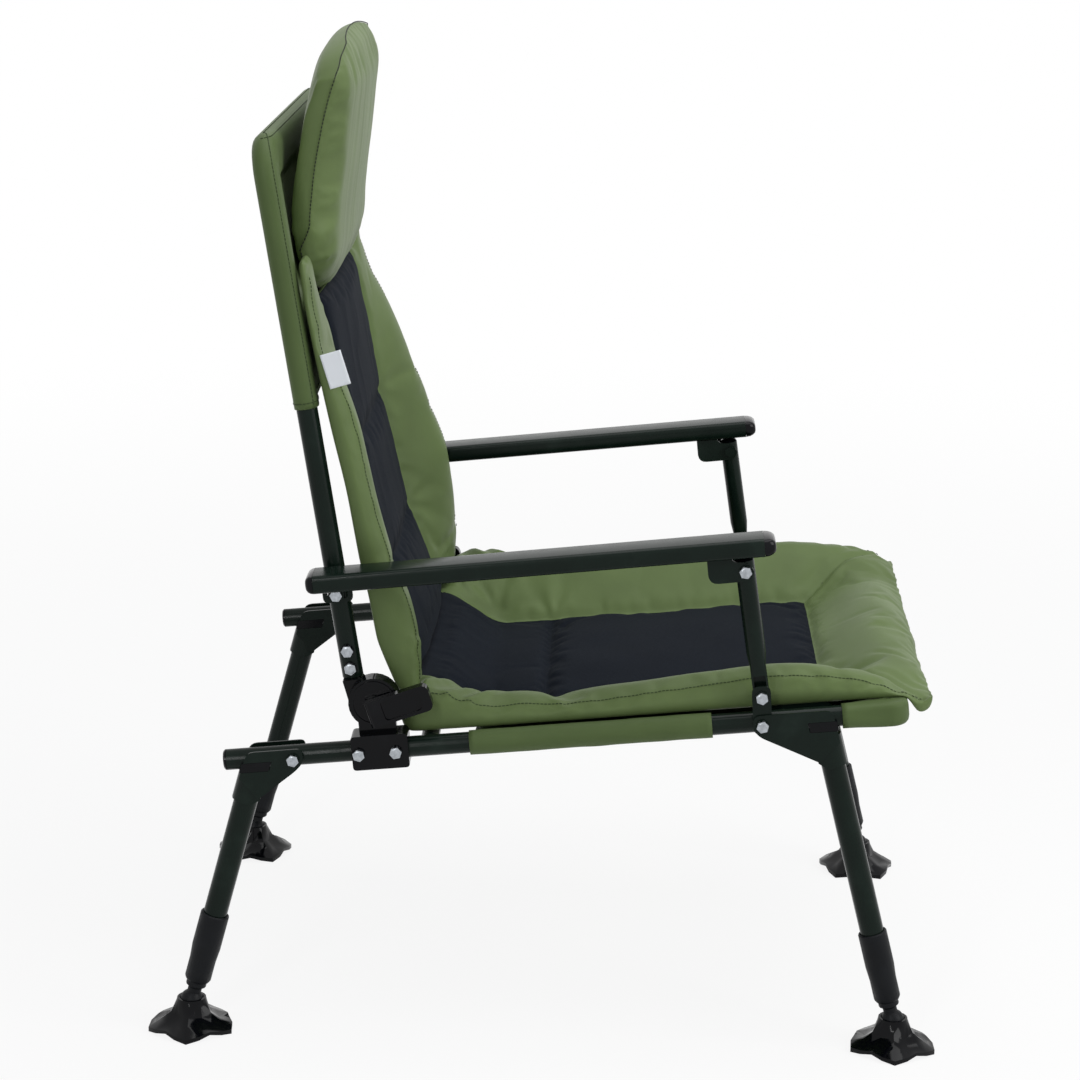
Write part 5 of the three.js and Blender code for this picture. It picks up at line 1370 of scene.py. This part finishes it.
def buildTag():
    steps = np.linspace(0, tag["width"], tag["columns"]), np.linspace(0, tag["height"], tag["rows"])
    wide, high = np.meshgrid(*steps, indexing="ij")
    tilt = math.radians(tag["tiltDeg"])
    forward = tag["forward"] + wide * math.cos(tilt) - high * math.sin(tilt)
    up = tag["low"] + high * math.cos(tilt) + wide * math.sin(tilt)
    across = tag["across"] - tag["curl"] * (wide / tag["width"]) ** 2
    across = across - tag["wave"] * np.sin(high / tag["wavePitch"])
    faces = gridFaces(np.arange(wide.size).reshape(wide.shape), alongFirst)
    places = backPlace(across, up, forward).reshape(-1, 3)
    return thickened(addMesh("blank_tag", places, faces, (cloths["whiteTape"],)), tag["thick"])


blankTag, tagArea = buildTag()
print("stage: tag, area", round(tagArea, 5))

# The frame's own parts keep their shape and take their finish from the words in their names
finishWords = {
    "mattBlack": ("sleeve", "stem"),
    "glossBlack": ("cap", "saddle", "hinge", "cam_lever", "mud_foot"),
}


def finishFor(nodeName):
    for finish, words in finishWords.items():
        if any(word in nodeName for word in words):
            return plastics[finish]
    return plastics["framePaint"]


for nodeName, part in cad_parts.items():
    part.data.materials.clear()
    part.data.materials.append(finishFor(nodeName))
    part.modifiers.new("shading", "NODES").node_group = shadeTree
print("stage: frame finishes")

# Bolts over the frame's own, brought out in zinc. In the seat's axes: body, across, reach, height
seatBolts = [
    ("leg_rear", 284.8, 0.0, 0.0),
    ("leg_front", 284.8, 485.5, 0.0),
    ("seat", 283.0, 88.1 - 19.6, 0.0),
    ("seat", 283.0, 88.1 + 18.9, 0.0),
    ("seat", 282.3, 487.0, 29.7),
]
# In the back's axes: across, up, forward, turn
backBolts = [(255.3, 36.0, -20.0, 0.2), (255.3, 55.0, -20.0, 0.6), (258.0, 116.28, -21.21, 0.5)]
armBolt = {"place": (287.2, -198.852, 522.325), "turn": 0.4}
# The screw in each mud foot's socket is smaller
footScrew = {"Head": 3.1 * mm, "Height": 0.9 * mm, "Washer": 0.0}
footScrewPlace = (268.0 + 17.4, 371.518, 23.5)


def mirrored(place, side, ahead=1):
    return np.array((side * place[0], ahead * place[1], place[2])) * mm


boltPlaces = []
firstTurn, turnStep = 0.3, 0.5
for side, name in zip(sides, ("right", "left")):
    for k, (kind, across, reach, height) in enumerate(seatBolts):
        body = kind if kind == "seat" else f"{kind}_{name}"
        turn = firstTurn + turnStep * k
        boltPlaces.append((body, seatPlace(side * across, reach, height), side, turn))
    for across, up, forward, turn in backBolts:
        boltPlaces.append(("back", backPlace(side * across, up, forward), side, turn))
    boltPlaces.append((f"arm_{name}", mirrored(armBolt["place"], side), side, armBolt["turn"]))
    for end, ahead in (("front", -1), ("rear", 1)):
        boltPlaces.append((f"foot_{end}_{name}", mirrored(footScrewPlace, side, ahead), side, 0.0))
boltPieces = []
for body in sorted({row[0] for row in boltPlaces}):
    names, places, outward, turns = zip(*(row for row in boltPlaces if row[0] == body))
    obj = addMesh(f"bolts_{body}", places, [])
    for label, values in (("outward", outward), ("spin", turns)):
        attribute = obj.data.attributes.new(label, "FLOAT", "POINT")
        attribute.data.foreach_set("value", [float(value) for value in values])
    sizes = footScrew if body.startswith("foot") else {}
    boltPieces.append((grown(obj, hexTree, zincPlate, sizes), body))
print("stage: bolts")

# Each mattress's own axes, a plane given in them, and a share to keep
pressed = {
    "seat": {"axes": seatPlace, "plane": (0.0, 400.0, 12.0), "keep": 0.53},
    "back": {"axes": backPlace, "plane": (0.0, 200.0, -6.0), "keep": 0.25},
}

# Each piece with the body that it rides on, the frame's piece that it stands for, and its slot
squashedPieces = [
    (seatCushion, "seat", "seat_mattress", "mattress_cloth"),
    (seatStitches, "seat", None, "mattress_cloth"),
    (seatEdging, "seat", None, "mattress_cloth"),
    (backCushion, "back", "back_mattress", "mattress_cloth"),
    (backStitches, "back", None, "mattress_cloth"),
    (backEdging, "back", None, "mattress_cloth"),
    (blankTag, "back", "sewn_tag", "white_cloth"),
]
firmPieces = [
    (headPillow, "back", "headrest_pillow", "green_cloth"),
    (pillowStitches, "back", None, "green_cloth"),
    (backHood, "back", "back_hood", "green_cloth"),
    (hoodStitches, "back", None, "green_cloth"),
    (seatSling, "seat", "seat_sling", "green_cloth"),
] + [(piece, body, None, "frame_paint") for piece, body in boltPieces]
for piece, body, node, slot in squashedPieces + firmPieces:
    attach(piece, body)
    if node:
        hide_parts(node)
for piece, body, node, slot in squashedPieces:
    axes, plane = pressed[body]["axes"], pressed[body]["plane"]
    out = tuple(Vector(axes(0.0, 0.0, 1.0) - axes(0.0, 0.0, 0.0)).normalized())
    tuple(axes(*plane))
    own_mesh(piece)
mostOfFlat = 0.999
for piece, flat, area, frameNode in (
    (backHood, (0.56, 0.6), hoodArea, "back_frame"),
    (seatSling, (0.66, 0.56), slingArea, "seat_frame"),
):
    area = min(area, mostOfFlat * flat[0] * flat[1])

# Floor, light and background
studio = {
    "floor": 40.0,
    "floorColour": (0.86, 0.86, 0.86, 1),
    "floorRoughness": 0.9,
    "glowFrom": 0.7,
    "glowTo": 3.6,
    "nearGlow": 0.88,
    "farGlow": 1.0,
    "ambient": 0.28,
    "ambientColour": (0.95, 0.97, 1.0, 1),
    "aim": (0, 0, 0.45),
}
lamps = {
    "topSoftbox": dict(place=(-0.1, -0.5, 2.9), size=(2.4, 2.4), power=44.0),
    "frontSoftbox": dict(place=(-1.3, -2.8, 1.7), size=(1.8, 1.8), power=44.0),
    "sideStrip": dict(place=(-2.8, 0.9, 1.8), size=(0.16, 2.0), power=18.0),
}


def plainView(tree):
    # 1 for what the camera sees, and for what gloss and glass show of it.
    rays = addNode(tree, "ShaderNodeLightPath").outputs
    seen = mathNode(tree, "ADD", rays["Is Camera Ray"], rays["Is Glossy Ray"])
    return mathNode(tree, "ADD", seen, rays["Is Transmission Ray"])


def mixedShaders(tree, share, first, second, result):
    mix = addNode(tree, "ShaderNodeMixShader")
    for socket, value in zip(mix.inputs, (share, first, second)):
        feed(tree, socket, value)
    feed(tree, tree.nodes[result].inputs["Surface"], mix)


def addFloor():
    # White in view, a little greyer under the object than farther off
    reach = studio["floor"]
    corners = [(-reach, -reach, 0), (reach, -reach, 0), (reach, reach, 0), (-reach, reach, 0)]
    material, tree, shader = newMaterial("paleFloor")
    shader.inputs["Base Color"].default_value = studio["floorColour"]
    shader.inputs["Roughness"].default_value = studio["floorRoughness"]
    away = addNode(tree, "ShaderNodeVectorMath", operation="LENGTH")
    feed(tree, away.inputs[0], objectPlace(tree))
    spread = addNode(tree, "ShaderNodeMapRange", interpolation_type="SMOOTHSTEP")
    limits = {"From Min": "glowFrom", "From Max": "glowTo", "To Min": "nearGlow", "To Max": "farGlow"}
    feed(tree, spread.inputs["Value"], away.outputs["Value"])
    for label, key in limits.items():
        spread.inputs[label].default_value = studio[key]
    glow = addNode(tree, "ShaderNodeEmission", Strength=1.0)
    share = mathNode(tree, "MULTIPLY", plainView(tree), spread)
    mixedShaders(tree, share, shader, glow, "Material Output")
    addMesh("floor", corners, [(0, 1, 2, 3)], (material,))


def addWorld():
    world = bpy.data.worlds.new("studio")
    bpy.context.scene.world = world
    world.use_nodes = True
    tree = world.node_tree
    shown = tree.nodes["Background"]
    shown.inputs["Color"].default_value = (1, 1, 1, 1)
    shown.inputs["Strength"].default_value = 1.0
    ambient = addNode(tree, "ShaderNodeBackground", Strength=studio["ambient"])
    ambient.inputs["Color"].default_value = studio["ambientColour"]
    mixedShaders(tree, plainView(tree), ambient, shown, "World Output")


def addLamp(name, place, size, power):
    data = bpy.data.lights.new(name, "AREA")
    data.shape = "RECTANGLE"
    data.size, data.size_y = size
    data.energy = power
    obj = addObject(name, data)
    obj.location = place
    obj.rotation_mode = "QUATERNION"
    obj.rotation_quaternion = (Vector(place) - Vector(studio["aim"])).to_track_quat("Z", "Y")


addFloor()
addWorld()
for name, lamp in lamps.items():
    addLamp(name, **lamp)
bpy.context.scene.view_settings.view_transform = "Standard"
print("stage: studio")
